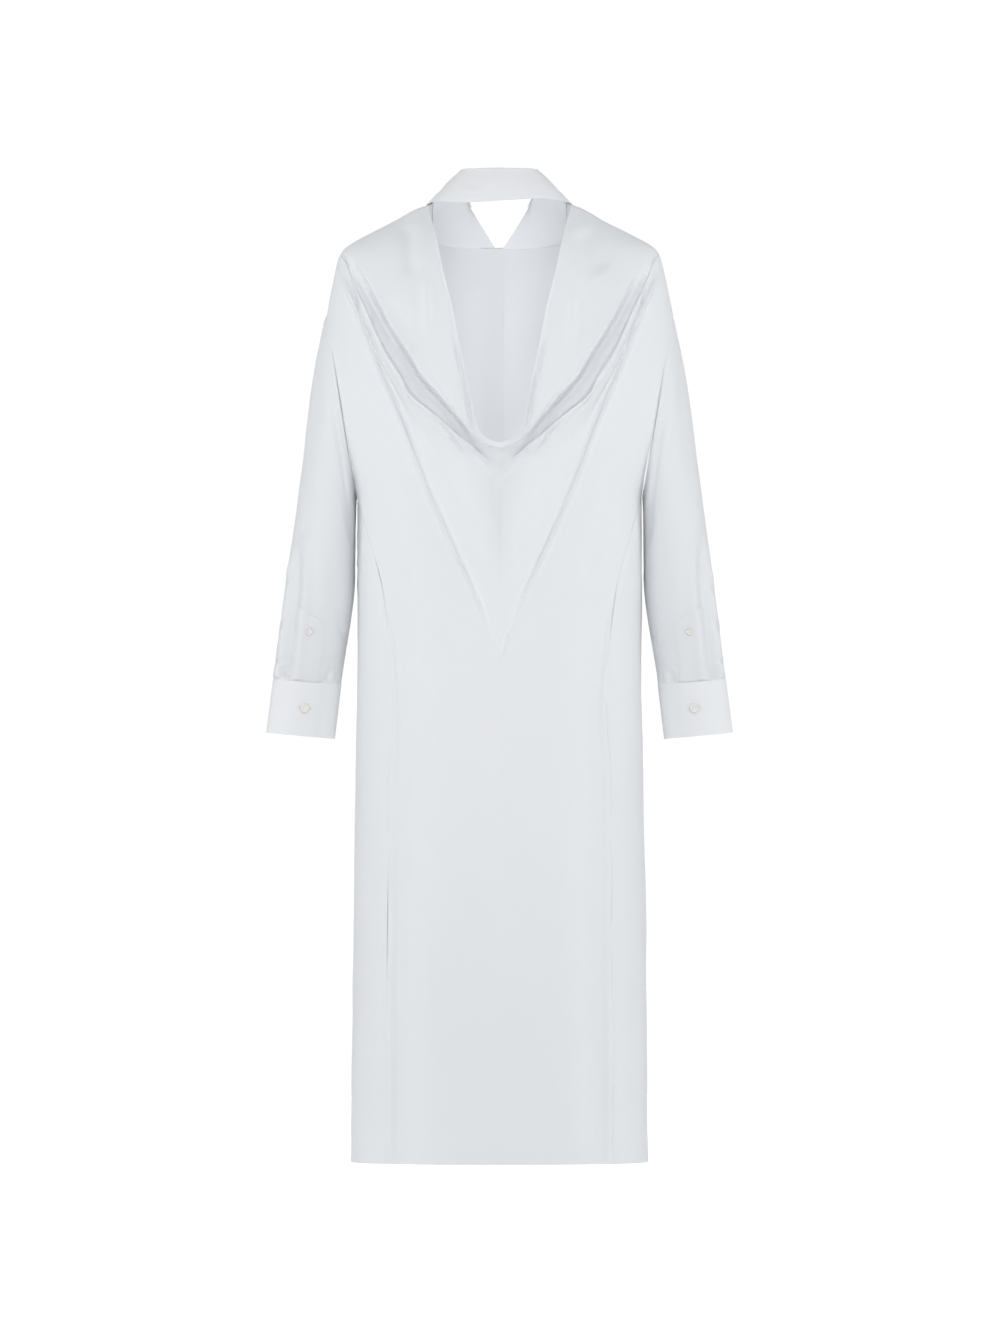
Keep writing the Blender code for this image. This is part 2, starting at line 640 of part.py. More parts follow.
def sleeve_row(table, share):
    """The centre, the half-axis and the two depths of one section."""
    stations = np.linspace(0.0, 1.0, len(table))
    flat = [(*r.outer, *r.inner, r.back, r.front) for r in table]
    ox, oz, ix, iz, back, front = [
        smooth_value(stations, [row[k] for row in flat], share) for k in range(6)
    ]
    outer = np.array([ox, 0.0, oz])
    inner = np.array([ix, 0.0, iz])
    return (outer + inner) / 2.0, (outer - inner) / 2.0, back, front


def sleeve_point(table, share, degrees):
    """A point of the right sleeve: 0 degrees on its outer side, 90 on its back."""
    centre, axis, back, front = sleeve_row(table, share)
    a = math.radians(degrees)
    reach = back if math.sin(a) > 0.0 else front
    return centre + axis * math.cos(a) + np.array([0.0, -reach * math.sin(a), 0.0])


def sleeve_normal(table, share, degrees):
    step = 0.004
    low, high = max(share - step, 0.0), min(share + step, 1.0)
    down = sleeve_point(table, high, degrees) - sleeve_point(table, low, degrees)
    round_ = sleeve_point(table, share, degrees + 1.0) - sleeve_point(table, share, degrees - 1.0)
    return unit(np.cross(round_, down))


def sleeve_skin(table, shares, angles, out):
    """Points of the sleeve at some shares of its length and angles, moved out by out(i, j)."""
    grid = np.empty((len(shares), len(angles), 3))
    for i, s in enumerate(shares):
        for j, a in enumerate(angles):
            grid[i, j] = sleeve_point(table, s, a) + sleeve_normal(table, s, a) * out(i, j)
    return grid


def cuff_lift(degrees_in):
    """How far the cuff's band stands out, so that its outer ply clears the inner one."""
    return (BAND_WALL + SEAM_GAP) * (1.0 - ease((degrees_in - CUFF_LAP) / CUFF_LAP_EASE))


def place(grid, side):
    return grid if side > 0 else mirrored(grid)


def build_sleeve(collection, label, side):
    shares = np.linspace(0.0, 1.0, SLEEVE_ROWS)
    angles = np.arange(SLEEVE_SIDES) * 360.0 / SLEEVE_SIDES
    outer = sleeve_skin(SLEEVE, shares, angles, lambda i, j: 0.0)
    outer[0] = draw_back(outer[0], outer[1], SLEEVE_SHIFT)
    normals = grid_normals(outer, wrap=True, flip=True)
    inner = outer - normals * WALL
    wall(collection, "sleeve_" + label, place(outer, side), place(inner, side), wrap=True)

    first = int(round(PLACKET_START * (SLEEVE_ROWS - 1)))
    low, high = [int(round(a * SLEEVE_SIDES / 360.0)) for a in PLACKET_ANGLES]
    sides = slice(low, high + 1)
    cloth, out = outer[first:, sides], normals[first:, sides]
    skins = [place(cloth + out * rise, side) for rise in (SEAM_GAP + STRIP_WALL, SEAM_GAP)]
    wall(collection, "sleeve_placket_" + label, *skins)


def build_cuff(collection, label, side):
    shares = np.linspace(0.0, 1.0, CUFF_ROWS)
    turned = np.linspace(0.0, CUFF_TURN, CUFF_STEPS)
    angles = CUFF_EDGE_ANGLE - turned
    skins = []
    for out in (CUFF_PROUD, CUFF_PROUD - BAND_WALL):
        lift = [out + cuff_lift(t) for t in turned]
        skins.append(place(sleeve_skin(CUFF, shares, angles, lambda i, j: lift[j]), side))
    wall(collection, "cuff_" + label, *skins)


# ---------------------------------------------------------------- collar

def on_chest(point, clear):
    """Fill in the depth of a point that lies on the fronts, moved out by a clearance."""
    x, y, z = point
    return (x, front_y(x, z) + clear if y is None else y, z)


def collar_line(name, where, clear=0.0):
    """Half of one of the collar's lines: points on a smooth curve through its stations."""
    stations = [station for station in COLLAR if getattr(station, name)]
    points = [on_chest(getattr(station, name), clear) for station in stations]
    places = [station.at for station in stations]
    return np.array([
        [smooth_value(places, [p[k] for p in points], at) for k in range(3)] for at in where
    ])


def both_sides(half):
    """A line from the right end of the collar to the left one, its middle point taken once."""
    return np.concatenate((half, half[-2::-1] * np.array([-1.0, 1.0, 1.0])))


def neck_edge(lap):
    """The top edge of one front, made for +X, from the collar's end to the shoulder seam."""
    return front_grid([LEFT_FRONT_EDGE], lap)[0]


def build_collar(collection):
    on_front = COLLAR_LAP_AT + (1.0 - COLLAR_LAP_AT) * np.linspace(0.0, 1.0, FRONT_COLUMNS)
    behind = np.linspace(1.0, 2.0, COLLAR_BACK_STEPS + 1)[1:]
    where = np.concatenate(([0.0], on_front, behind))
    fold = both_sides(collar_line("fold", where))
    edge = both_sides(collar_line("edge", where, COLLAR_CLEAR))
    bridge = collar_line("seam", behind)
    right = np.concatenate((neck_edge(LAP_RISE), bridge))
    left = np.concatenate((neck_edge(0.0), bridge))
    seam = np.concatenate((right, both_sides(left)[len(left):]))
    way = fold - seam
    seam += way / np.linalg.norm(way, axis=1, keepdims=True) * COLLAR_SEAM_GAP
    rows = np.linspace(0.0, 1.0, COLLAR_ROWS)

    stand = np.array([(1 - t) * fold + t * seam for t in rows])
    normals = grid_normals(stand, flip=True)
    wall(collection, "collar_stand", stand, stand - normals * BAND_WALL)

    start = fold + normals[0] * SEAM_GAP
    fall = np.array([(1 - t) * start + t * edge for t in rows])
    out = grid_normals(fall, flip=True)
    for i, t in enumerate(rows):
        fall[i] += out[i] * FALL_BELLY * math.sin(math.pi * t)
    out = grid_normals(fall, flip=True)
    wall(collection, "collar_fall", fall + out * BAND_WALL, fall)


# ---------------------------------------------------------------- buttons

def add_button(collection, name, centre, normal, size):
    """A round button with a softened rim, lying on the cloth."""
    bm = bmesh.new()
    bmesh.ops.create_cone(
        bm, cap_ends=True, segments=BUTTON_SIDES, radius1=size / 2.0, radius2=size / 2.0,
        depth=BUTTON_THICKNESS,
    )
    rim = [e for e in bm.edges if abs(e.verts[0].co.z - e.verts[1].co.z) < 1e-6]
    bmesh.ops.bevel(bm, geom=rim, offset=BUTTON_BEVEL, segments=1, affect="EDGES")
    mesh = bpy.data.meshes.new(name)
    bm.to_mesh(mesh)
    bm.free()
    piece = add_object(collection, name, mesh, SHELL_BUTTON)
    piece.rotation_mode = "QUATERNION"
    piece.rotation_quaternion = Vector(normal).to_track_quat("Z", "Y")
    piece.location = Vector(centre + normal * (SEAM_GAP + BUTTON_THICKNESS / 2.0))


def build_buttons(collection):
    middle = (LEFT_FRONT_EDGE - RIGHT_FRONT_EDGE) / 2.0
    for i in range(FRONT_BUTTONS):
        z = FRONT_BUTTON_TOP - i * FRONT_BUTTON_PITCH
        seat = placket_point(middle, z, SEAM_GAP + STRIP_WALL)
        above, below = [placket_point(middle, z + d, 0.0) for d in (SLOPE_STEP, -SLOPE_STEP)]
        slope = below - above
        normal = unit(np.array([0.0, -slope[2], slope[1]]))
        add_button(collection, f"front_button_{i + 1}", seat, normal, FRONT_BUTTON_SIZE)
    for label, side in (("right", 1.0), ("left", -1.0)):
        flip = np.array([side, 1.0, 1.0])
        share = PLACKET_START + (1.0 - PLACKET_START) * PLACKET_BUTTON_AT
        angle = PLACKET_BUTTON_ANGLE
        normal = sleeve_normal(SLEEVE, share, angle)
        seat = sleeve_point(SLEEVE, share, angle) + normal * (SEAM_GAP + STRIP_WALL)
        add_button(collection, "placket_button_" + label, seat * flip, normal * flip,
                   PLACKET_BUTTON_SIZE)
        normal = sleeve_normal(CUFF, CUFF_BUTTON_AT, CUFF_BUTTON_ANGLE)
        lift = CUFF_PROUD + cuff_lift(CUFF_EDGE_ANGLE - CUFF_BUTTON_ANGLE)
        seat = sleeve_point(CUFF, CUFF_BUTTON_AT, CUFF_BUTTON_ANGLE) + normal * lift
        add_button(collection, "cuff_button_" + label, seat * flip, normal * flip,
                   CUFF_BUTTON_SIZE)


# ---------------------------------------------------------------- the dress

def main():
    for leftover in list(bpy.data.objects):
        bpy.data.objects.remove(leftover, do_unlink=True)
    dress = bpy.data.collections.new("shirt_dress")
    bpy.context.scene.collection.children.link(dress)
    build_back(dress)
    build_fronts(dress)
    build_front_placket(dress)
    for label, side in (("right", 1.0), ("left", -1.0)):
        build_sleeve(dress, label, side)
        build_cuff(dress, label, side)
    build_collar(dress)
    build_buttons(dress)


main()
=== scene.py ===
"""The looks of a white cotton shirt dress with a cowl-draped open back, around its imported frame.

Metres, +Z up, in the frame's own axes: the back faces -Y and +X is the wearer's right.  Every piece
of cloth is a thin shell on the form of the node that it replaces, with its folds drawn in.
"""

import math
from collections import namedtuple

import bmesh
import bpy
import numpy as np
from mathutils import Matrix, Vector


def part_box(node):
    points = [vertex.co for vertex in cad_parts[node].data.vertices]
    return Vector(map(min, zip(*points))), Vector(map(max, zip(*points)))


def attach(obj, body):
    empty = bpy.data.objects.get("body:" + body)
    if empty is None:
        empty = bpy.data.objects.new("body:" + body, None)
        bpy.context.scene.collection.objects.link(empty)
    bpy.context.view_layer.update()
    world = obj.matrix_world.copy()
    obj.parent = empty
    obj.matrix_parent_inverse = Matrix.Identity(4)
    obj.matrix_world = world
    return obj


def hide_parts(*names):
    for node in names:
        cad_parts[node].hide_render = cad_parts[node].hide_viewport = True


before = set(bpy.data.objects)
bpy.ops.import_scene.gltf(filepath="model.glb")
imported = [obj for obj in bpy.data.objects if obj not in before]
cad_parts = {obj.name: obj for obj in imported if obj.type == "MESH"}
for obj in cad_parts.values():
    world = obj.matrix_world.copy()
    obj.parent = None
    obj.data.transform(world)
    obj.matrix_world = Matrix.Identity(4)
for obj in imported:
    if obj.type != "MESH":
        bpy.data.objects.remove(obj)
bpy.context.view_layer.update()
HEM_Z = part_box("back")[0].z


def rows_of(columns, *rows):
    """A short table, its columns named in one string."""
    Row = namedtuple("Row", columns)
    return [Row(*row) for row in rows]


# ---------------------------------------------------------------- sizes (metres)

PLY = 0.0005                  # one layer of the cotton
DOUBLE = 0.0011               # two layers: hems and plackets
BAND = 0.0015                 # cuffs and collar: two layers and an interlining
LAP_RISE = 0.0011             # the right front lies this far above the left one
STRIP_RISE = 0.0002           # clear distance between the cuff's outer ply and its inner one
HEM_HEIGHT = 0.0180
SEAM_DIP = 0.0012             # how deep the cloth sinks at a sewn seam
RIM_PROUD = 0.0001            # how far the cloth's edge bulges, less than half of a seam's gap
SEAM_GAP = 0.0006             # between the collar stand and the neckline it is sewn to
CUFF_CALM = 0.0120            # how far above the cuff the sleeve's folds fade out
FORM_STEP = 0.0020            # how far apart the form's slopes are taken
SEAM_CALM = 0.0140            # how far from a seam the creases of the back begin
SEAM_SOFT = 0.0040            # how far beside a seam the cloth sinks

ARMHOLE_TOP_Z, ARMHOLE_TOP_X = -0.1450, 0.2230
UNDERARM_Z, UNDERARM_X = -0.3760, 0.1820
ARMHOLE_BACK, ARMHOLE_FRONT = 0.0660, 0.0600
LEFT_FRONT_EDGE, RIGHT_FRONT_EDGE = 0.0050, 0.0230
LAP_START, LAP_END = 0.0320, 0.0120
NECK_FADE = 0.1000

BACK_HALF_COLUMNS = 64
FRONT_COLUMNS = 60
LAP_COLUMNS = 8
SLEEVE_SIDES = 120
SLEEVE_ROWS = 116
CUFF_STEPS = 170
CUFF_ROWS = 26
CUFF_TURN, CUFF_EDGE_ANGLE = 395.0, 115.0
CUFF_LAP, CUFF_LAP_EASE = 38.0, 40.0
CUFF_PROUD = 0.0004
COLLAR_ROWS = 24

PIXEL = 0.00128               # a pixel of the 1000 x 1334 frame at the dress
FRAME_SIZE = (1000, 1334)
ORIGIN_PIXEL = (499.5, 203.0)
CAMERA_DISTANCE = 16.0
SENSOR = 36.0                 # millimetres
FLOOR_Z = -1.45               # a wearer's shoulders are this high above the floor

# ---------------------------------------------------------------- form of the dress

SHOULDERS = rows_of("z half_width",
    (0.0, 0.0862), (-0.006, 0.105), (-0.022, 0.135), (-0.037, 0.165), (-0.052, 0.192), (-0.06, 0.2015),
    (-0.073, 0.208), (-0.099, 0.214), (-0.124, 0.219), (ARMHOLE_TOP_Z, ARMHOLE_TOP_X),
)
SIDES = rows_of("z half_width",
    (UNDERARM_Z, UNDERARM_X), (-0.62, 0.182), (-0.7, 0.1835), (-0.85, 0.186), (-0.97, 0.1875),
    (-1.07, 0.1885), (HEM_Z, 0.19),
)
DEPTHS = rows_of("z back front rounding",
    (0.0, 0.02, 0.02, 2.4), (-0.02, 0.04, 0.036, 2.4), (-0.04, 0.058, 0.055, 2.4),
    (-0.056, 0.07, 0.0665, 2.4), (-0.09, 0.086, 0.088, 2.4), (-0.13, 0.097, 0.103, 2.4),
    (-0.2, 0.106, 0.118, 2.5), (-0.28, 0.109, 0.121, 2.9), (-0.35, 0.106, 0.117, 3.4),
    (-0.42, 0.103, 0.111, 3.3), (-0.55, 0.108, 0.109, 2.8), (-0.68, 0.116, 0.112, 2.5),
    (-0.9, 0.116, 0.116, 2.4), (HEM_Z, 0.112, 0.118, 2.4),
)
BACK_SIDE_SEAM = rows_of("z x",
    (UNDERARM_Z, UNDERARM_X), (-0.393, 0.177), (-0.44, 0.164), (-0.495, 0.15), (-0.573, 0.14),
    (-0.646, 0.136), (-0.76, 0.143), (HEM_Z, 0.144),
)
NECKLINE = rows_of("x z",
    (0.005, -0.056), (0.03, -0.0555), (0.06, -0.0525), (0.074, -0.0475), (0.082, -0.036), (0.085, -0.02),
    (0.0858, -0.008), (0.0862, 0.0),
)

BACK_EDGE = rows_of("x z",
    (0.0, -0.308), (0.012, -0.305), (0.024, -0.294), (0.032, -0.274), (0.039, -0.236), (0.048, -0.196),
    (0.0595, -0.137), (0.07, -0.092), (0.078, -0.045), (0.0858, -0.002),
)
EDGE_GROOVE = rows_of("x z",
    (0.0, -0.3145), (0.014, -0.311), (0.029, -0.3), (0.037, -0.279), (0.0435, -0.238), (0.052, -0.197),
    (0.0625, -0.1375), (0.0725, -0.0925), (0.08, -0.045), (0.0874, -0.0025),
)
PANEL_MIDDLE = rows_of("x z",
    (0.0, -0.3157), (0.016, -0.3118), (0.033, -0.3), (0.049, -0.279), (0.066, -0.249), (0.083, -0.213),
    (0.097, -0.173), (0.111, -0.132), (0.127, -0.087), (0.147, -0.03),
)
FIRST_ROLL = rows_of("x z",
    (0.0, -0.3165), (0.016, -0.3125), (0.0345, -0.2985), (0.054, -0.274), (0.0735, -0.25),
    (0.0985, -0.222), (0.112, -0.1985), (0.1345, -0.163), (0.15, -0.1355), (0.167, -0.1015),
    (0.183, -0.0755), (0.199, -0.058),
)
FIRST_GROOVE = rows_of("x z",
    (0.0, -0.3235), (0.018, -0.3175), (0.0375, -0.3015), (0.057, -0.2775), (0.077, -0.2535),
    (0.1025, -0.2255), (0.1165, -0.201), (0.1385, -0.166), (0.154, -0.1385), (0.171, -0.1045),
    (0.187, -0.0785), (0.202, -0.06),
)
WEDGE_FOOT = rows_of("x z",
    (0.0, -0.338), (0.022, -0.3233), (0.0425, -0.306), (0.0622, -0.2883), (0.082, -0.2702),
    (0.1025, -0.2528), (0.1185, -0.232), (0.1318, -0.2083), (0.1453, -0.1852), (0.1572, -0.1611),
    (0.1685, -0.1367), (0.1799, -0.1123), (0.1917, -0.0881), (0.2041, -0.0643),
)
SECOND_ROLL = rows_of("x z",
    (0.0, -0.342), (0.017, -0.329), (0.034, -0.3135), (0.051, -0.3005), (0.067, -0.286), (0.086, -0.2705),
    (0.107, -0.2545), (0.1175, -0.2435), (0.1235, -0.2285), (0.1325, -0.214), (0.1445, -0.195),
    (0.1545, -0.175), (0.168, -0.145), (0.181, -0.117), (0.1935, -0.089), (0.2045, -0.065),
)
SECOND_GROOVE = rows_of("x z",
    (0.0, -0.362), (0.02, -0.348), (0.044, -0.328), (0.066, -0.301), (0.088, -0.279), (0.112, -0.256),
    (0.133, -0.229), (0.15, -0.198), (0.166, -0.166), (0.184, -0.125), (0.1975, -0.092), (0.2058, -0.068),
)
SWELL = rows_of("x z",
    (0.0, -0.455), (0.022, -0.425), (0.046, -0.385), (0.068, -0.348), (0.09, -0.313), (0.114, -0.277),
    (0.135, -0.239), (0.153, -0.203), (0.169, -0.168), (0.187, -0.128), (0.2, -0.096), (0.2068, -0.071),
)
VALLEY_BANK = rows_of("x z",
    (0.0, -0.568), (0.012, -0.54), (0.025, -0.508), (0.042, -0.47), (0.064, -0.422), (0.0855, -0.375),
    (0.106, -0.326), (0.122, -0.284), (0.141, -0.238), (0.162, -0.1885), (0.18, -0.1475), (0.193, -0.121),
    (0.202, -0.103), (0.2083, -0.0748),
)
LONG_VALLEY = rows_of("x z",
    (0.0, -0.58), (0.0083, -0.5594), (0.0205, -0.5243), (0.036, -0.487), (0.0585, -0.4385),
    (0.081, -0.3895), (0.1025, -0.337), (0.1185, -0.293), (0.1375, -0.2475), (0.159, -0.197),
    (0.1765, -0.1545), (0.19, -0.129), (0.2004, -0.1102), (0.2085, -0.076),
)
# lifts: from the centre to the seam
BACK_FOLDS = rows_of("rows points lifts",
    (8, BACK_EDGE, (0.01, 0.0045, 0.0024, 0.001, 0.0005)),
    (16, EDGE_GROOVE, (0.0085, 0.002, 0.0005, 0.0, 0.0)),
    (20, PANEL_MIDDLE, (0.01, 0.0095, 0.007, 0.0045, 0.0)),
    (9, FIRST_ROLL, (0.011, 0.015, 0.0145, 0.01, 0.002)),
    (11, FIRST_GROOVE, (0.0, -0.001, -0.0015, -0.001, 0.0)),
    (7, WEDGE_FOOT, (-0.005, -0.0065, -0.0095, -0.0075, -0.001)),
    (8, SECOND_ROLL, (-0.0075, 0.001, 0.0095, 0.0105, 0.0095, 0.0065, 0.004, 0.002, 0.001)),
    (14, SECOND_GROOVE, (-0.009, 0.0055, 0.005, 0.0, 0.0)),
    (16, SWELL, (0.003, 0.012, 0.011, 0.006, 0.001)), (7, VALLEY_BANK, (0.004, 0.0045, 0.003, 0.0, 0.0)),
    (0, LONG_VALLEY, (0.003, 0.001, -0.002, -0.004, 0.0)),
)
SKIRT_ROWS = rows_of("edge centre",
    (-0.076, LONG_VALLEY[0].z), (ARMHOLE_TOP_Z, -0.59), (-0.26, -0.608), (UNDERARM_Z, -0.628),
    (-0.457, -0.665), (-0.573, -0.725), (-0.7, -0.8), (-0.85, -0.905), (-1.0, -1.02), (HEM_Z, HEM_Z),
)
SKIRT_SWELL = 0.0048
SWELL_FADE, BOW_FADE, LIFT_FADE, SEAM_PULL = 5, 6, 12, 6

SLEEVE = rows_of("outer_x outer_z inner_x inner_z back front",
    (0.223, -0.145, 0.1822, -0.376, 0.066, 0.06), (0.2345, -0.2, 0.1834, -0.395, 0.066, 0.06),
    (0.2435, -0.255, 0.1838, -0.42, 0.063, 0.057), (0.2515, -0.325, 0.184, -0.452, 0.058, 0.053),
    (0.2605, -0.393, 0.1846, -0.488, 0.052, 0.048), (0.27, -0.462, 0.1895, -0.533, 0.046, 0.043),
    (0.279, -0.527, 0.196, -0.573, 0.04, 0.037), (0.2868, -0.588, 0.2003, -0.6, 0.031, 0.03),
    (0.2895, -0.609, 0.2025, -0.616, 0.026, 0.025),
)
CUFF = rows_of("outer_x outer_z inner_x inner_z back front",
    (0.2896, -0.6094, 0.2026, -0.6164, 0.026, 0.025), (0.2985, -0.678, 0.211, -0.686, 0.022, 0.021),
)
SLEEVE_LENGTH = 0.470         # along its outer side, from the armhole to the cuff
SLEEVE_GIRTH = 0.300
SLEEVE_TURN = 179.6           # degrees to each side, up to the seam under the arm

COLLAR = rows_of("at seam fold edge",
    (0.0, None, (0.039, 0.068, -0.002), (0.064, None, -0.08)),
    (0.29, None, (0.0435, 0.056, 0.008), (0.078, None, -0.064)),
    (0.54, None, (0.0475, 0.04, 0.019), (0.088, None, -0.047)),
    (0.69, None, (0.05, 0.023, 0.029), (0.095, None, -0.027)),
    (0.83, None, (0.0505, 0.006, 0.0365), (0.0925, 0.0126, -0.0022)),
    (1.0, (0.0862, 0.0, 0.0006), (0.05, -0.013, 0.0405), (0.0884, -0.0124, -0.0002)),
    (1.3, (0.0745, -0.03, 0.006), (0.0455, -0.031, 0.042), (0.0785, -0.039, 0.001)),
    (1.65, (0.043, -0.049, 0.007), (0.029, -0.047, 0.0425), (0.05, -0.063, 0.0005)),
    (2.0, (0.0, -0.056, 0.007), (0.0, -0.056, 0.0425), (0.0, -0.074, 0.0005)),
)
COLLAR_CLEAR = 0.0040
COLLAR_LAP_AT = 0.22
COLLAR_BACK_STEPS = 26
FALL_BELLY = 0.0012
COLLAR_TILT, COLLAR_TILT_REACH = 0.060, 0.085

# ---------------------------------------------------------------- creases

# A crease is a soft trough (or a ridge, where its depth is negative) along a line of points, with
# the cloth standing up a little beside it.  Sides: 0 both, 1 the wearer's right, -1 the left.
CREASE = "side depth width bank points"
BACK_CREASES = rows_of(CREASE,
    (0, 0.0055, 0.0022, 0.1, ((0.03, -0.3075), *FIRST_GROOVE[2:-1])),
    (0, 0.0026, 0.003, 0.25, LONG_VALLEY[-2:0:-1]),
    (1, 0.0016, 0.0034, 0.3, ((0.014, -0.545), (0.004, -0.575), (-0.004, -0.598))),
    (0, 0.0016, 0.0016, 0.6, ((0.154, -0.173), (0.145, -0.19), (0.136, -0.205), (0.124, -0.227))),
    (0, 0.0026, 0.0018, 0.8, ((0.097, -0.262), (0.083, -0.275), (0.07, -0.29), (0.056, -0.309),
        (0.043, -0.329))),
    (0, 0.001, 0.004, 0.5, ((0.126, -0.238), (0.111, -0.269), (0.097, -0.311))),
    (0, 0.003, 0.0026, 0.4, ((0.201, -0.058), (0.1955, -0.088), (0.1873, -0.114), (0.178, -0.146))),
    (0, 0.009, 0.013, 0.1, ((0.046, -0.318), (0.02, -0.338), (-0.006, -0.366))),
    (0, 0.003, 0.002, 0.3, ((0.06, -0.165), (0.053, -0.198), (0.044, -0.236), (0.037, -0.279),
        (0.031, -0.298))),
    (0, 0.0014, 0.012, 0.2, ((0.002, -0.36), (0.0, -0.44), (0.001, -0.505))),
    (-1, 0.001, 0.0022, 0.5, ((0.0095, -0.379), (0.004, -0.396), (0.0, -0.412))),
    (-1, -0.0016, 0.0075, 0.0, ((0.04, -0.418), (0.03, -0.44), (0.019, -0.462))),
    (1, -0.0016, 0.0075, 0.0, ((0.018, -0.424), (0.026, -0.446), (0.034, -0.474))),
    (-1, 0.0045, 0.011, 0.2, ((0.117, -0.026), (0.116, -0.06), (0.114, -0.098))),
    (1, 0.0055, 0.015, 0.2, ((0.104, -0.034), (0.116, -0.062), (0.134, -0.092))),
    (-1, 0.004, 0.011, 0.2, ((0.146, -0.128), (0.128, -0.152), (0.106, -0.196))),
    (-1, -0.0034, 0.006, 0.1, ((0.094, -0.094), (0.093, -0.133), (0.092, -0.172))),
    (1, -0.0034, 0.006, 0.1, ((0.094, -0.11), (0.092, -0.15), (0.091, -0.194))),
    (0, 0.0012, 0.008, 0.2, ((0.15, -0.33), (0.128, -0.42), (0.1, -0.52))),
    (-1, 0.0009, 0.01, 0.2, ((0.12, -0.7), (0.112, -0.86), (0.118, -1.02))),
    (1, 0.0009, 0.011, 0.2, ((0.104, -0.76), (0.11, -0.9), (0.106, -1.1))),
    (0, 0.0062, 0.021, 0.05, ((0.164, -0.4), (0.146, -0.45), (0.13, -0.51), (0.119, -0.6),
        (0.115, -0.68), (0.118, -0.8), (0.121, -1.0), (0.123, -1.34))),
)
# across from the centre front, level; then down
FRONT_CREASES = rows_of(CREASE,
    (1, 0.0022, 0.01, 0.3, ((0.185, -0.2), (0.15, -0.26), (0.118, -0.345))),
    (-1, 0.0024, 0.011, 0.3, ((0.19, -0.215), (0.152, -0.29), (0.124, -0.385))),
    (0, 0.0016, 0.009, 0.3, ((0.205, -0.3), (0.172, -0.345), (0.15, -0.41))),
    (1, 0.0014, 0.012, 0.2, ((0.12, -0.07), (0.112, -0.15), (0.098, -0.24))),
    (-1, 0.0014, 0.011, 0.2, ((0.128, -0.08), (0.118, -0.17), (0.106, -0.23))),
    (1, 0.002, 0.016, 0.25, ((0.11, -0.48), (0.116, -0.64), (0.112, -0.86))),
    (-1, 0.0022, 0.017, 0.25, ((0.096, -0.52), (0.104, -0.72), (0.108, -0.96))),
    (1, 0.0022, 0.018, 0.25, ((0.186, -0.56), (0.192, -0.76), (0.196, -1.06))),
    (-1, 0.002, 0.016, 0.25, ((0.178, -0.62), (0.188, -0.82), (0.186, -1.12))),
    (0, 0.0012, 0.006, 0.4, ((0.024, -0.3), (0.046, -0.318), (0.074, -0.322))),
    (1, 0.001, 0.005, 0.4, ((0.026, -0.52), (0.05, -0.534), (0.08, -0.532))),
    (-1, 0.0011, 0.006, 0.4, ((0.014, -0.628), (0.042, -0.64), (0.068, -0.636))),
    (0, 0.0018, 0.008, 0.3, ((0.245, -0.392), (0.262, -0.44), (0.27, -0.52))),
)
# across: round from the outer side, positive on the back; then down
SLEEVE_CREASES = rows_of(CREASE,
    (0, 0.0065, 0.0085, 0.5, ((0.03, -0.246), (0.035, -0.285), (0.038, -0.305), (0.0395, -0.337),
        (0.041, -0.386), (0.042, -0.44), (0.042, -0.52))),
    (-1, 0.0022, 0.006, 0.3, ((0.006, -0.276), (0.0317, -0.253), (0.052, -0.232))),
    (1, 0.0022, 0.0065, 0.3, ((0.004, -0.262), (0.0362, -0.25), (0.056, -0.228))),
    (-1, 0.0026, 0.0042, 0.4, ((0.01, -0.322), (0.027, -0.3), (0.041, -0.276))),
    (1, 0.0024, 0.0045, 0.4, ((0.008, -0.334), (0.026, -0.312), (0.042, -0.282))),
    (0, 0.0022, 0.005, 0.4, ((0.002, -0.38), (0.018, -0.366), (0.036, -0.352))),
    (0, 0.002, 0.0045, 0.4, ((0.0, -0.424), (0.02, -0.408), (0.04, -0.404))),
    (0, 0.003, 0.006, 0.3, ((0.002, -0.4), (0.007, -0.436), (0.01, -0.52))),
    (0, 0.0018, 0.005, 0.5, ((0.104, -0.52), (0.104, -0.446), (0.106, -0.404))),
    (1, 0.0014, 0.006, 0.3, ((0.1, -0.33), (0.12, -0.352), (0.138, -0.35))),
    (-1, 0.0016, 0.007, 0.3, ((0.104, -0.3), (0.122, -0.326), (0.144, -0.33))),
    (0, 0.0014, 0.012, 0.2, ((0.022, -0.04), (0.034, -0.11), (0.03, -0.19))),
    (0, 0.002, 0.011, 0.2, ((0.07, -0.03), (0.104, -0.09), (0.122, -0.18))),
    (0, 0.0022, 0.009, 0.3, ((-0.13, -0.2), (-0.104, -0.232), (-0.072, -0.236))),
    (1, 0.0024, 0.009, 0.3, ((-0.124, -0.248), (-0.092, -0.266), (-0.058, -0.256))),
    (-1, 0.002, 0.008, 0.3, ((-0.132, -0.258), (-0.1, -0.288), (-0.064, -0.284))),
    (0, 0.0018, 0.01, 0.2, ((-0.074, -0.04), (-0.094, -0.11), (-0.114, -0.17))),
    (0, 0.002, 0.006, 0.5, ((-0.08, -0.52), (-0.078, -0.44), (-0.072, -0.404))),
    (0, 0.002, 0.006, 0.5, ((-0.05, -0.52), (-0.052, -0.446), (-0.056, -0.418))),
)
# across: along the collar from its centre back; then down from the fold
COLLAR_CREASES = rows_of(CREASE,
    (-1, 0.0012, 0.012, 0.2, ((0.02, -0.004), (0.034, -0.022), (0.04, -0.044))),
    (1, 0.001, 0.014, 0.2, ((0.01, -0.006), (0.018, -0.024), (0.016, -0.044))),
    (0, 0.001, 0.01, 0.2, ((0.1, -0.006), (0.104, -0.026), (0.112, -0.05))),
)

# ---------------------------------------------------------------- how the cloth was cut

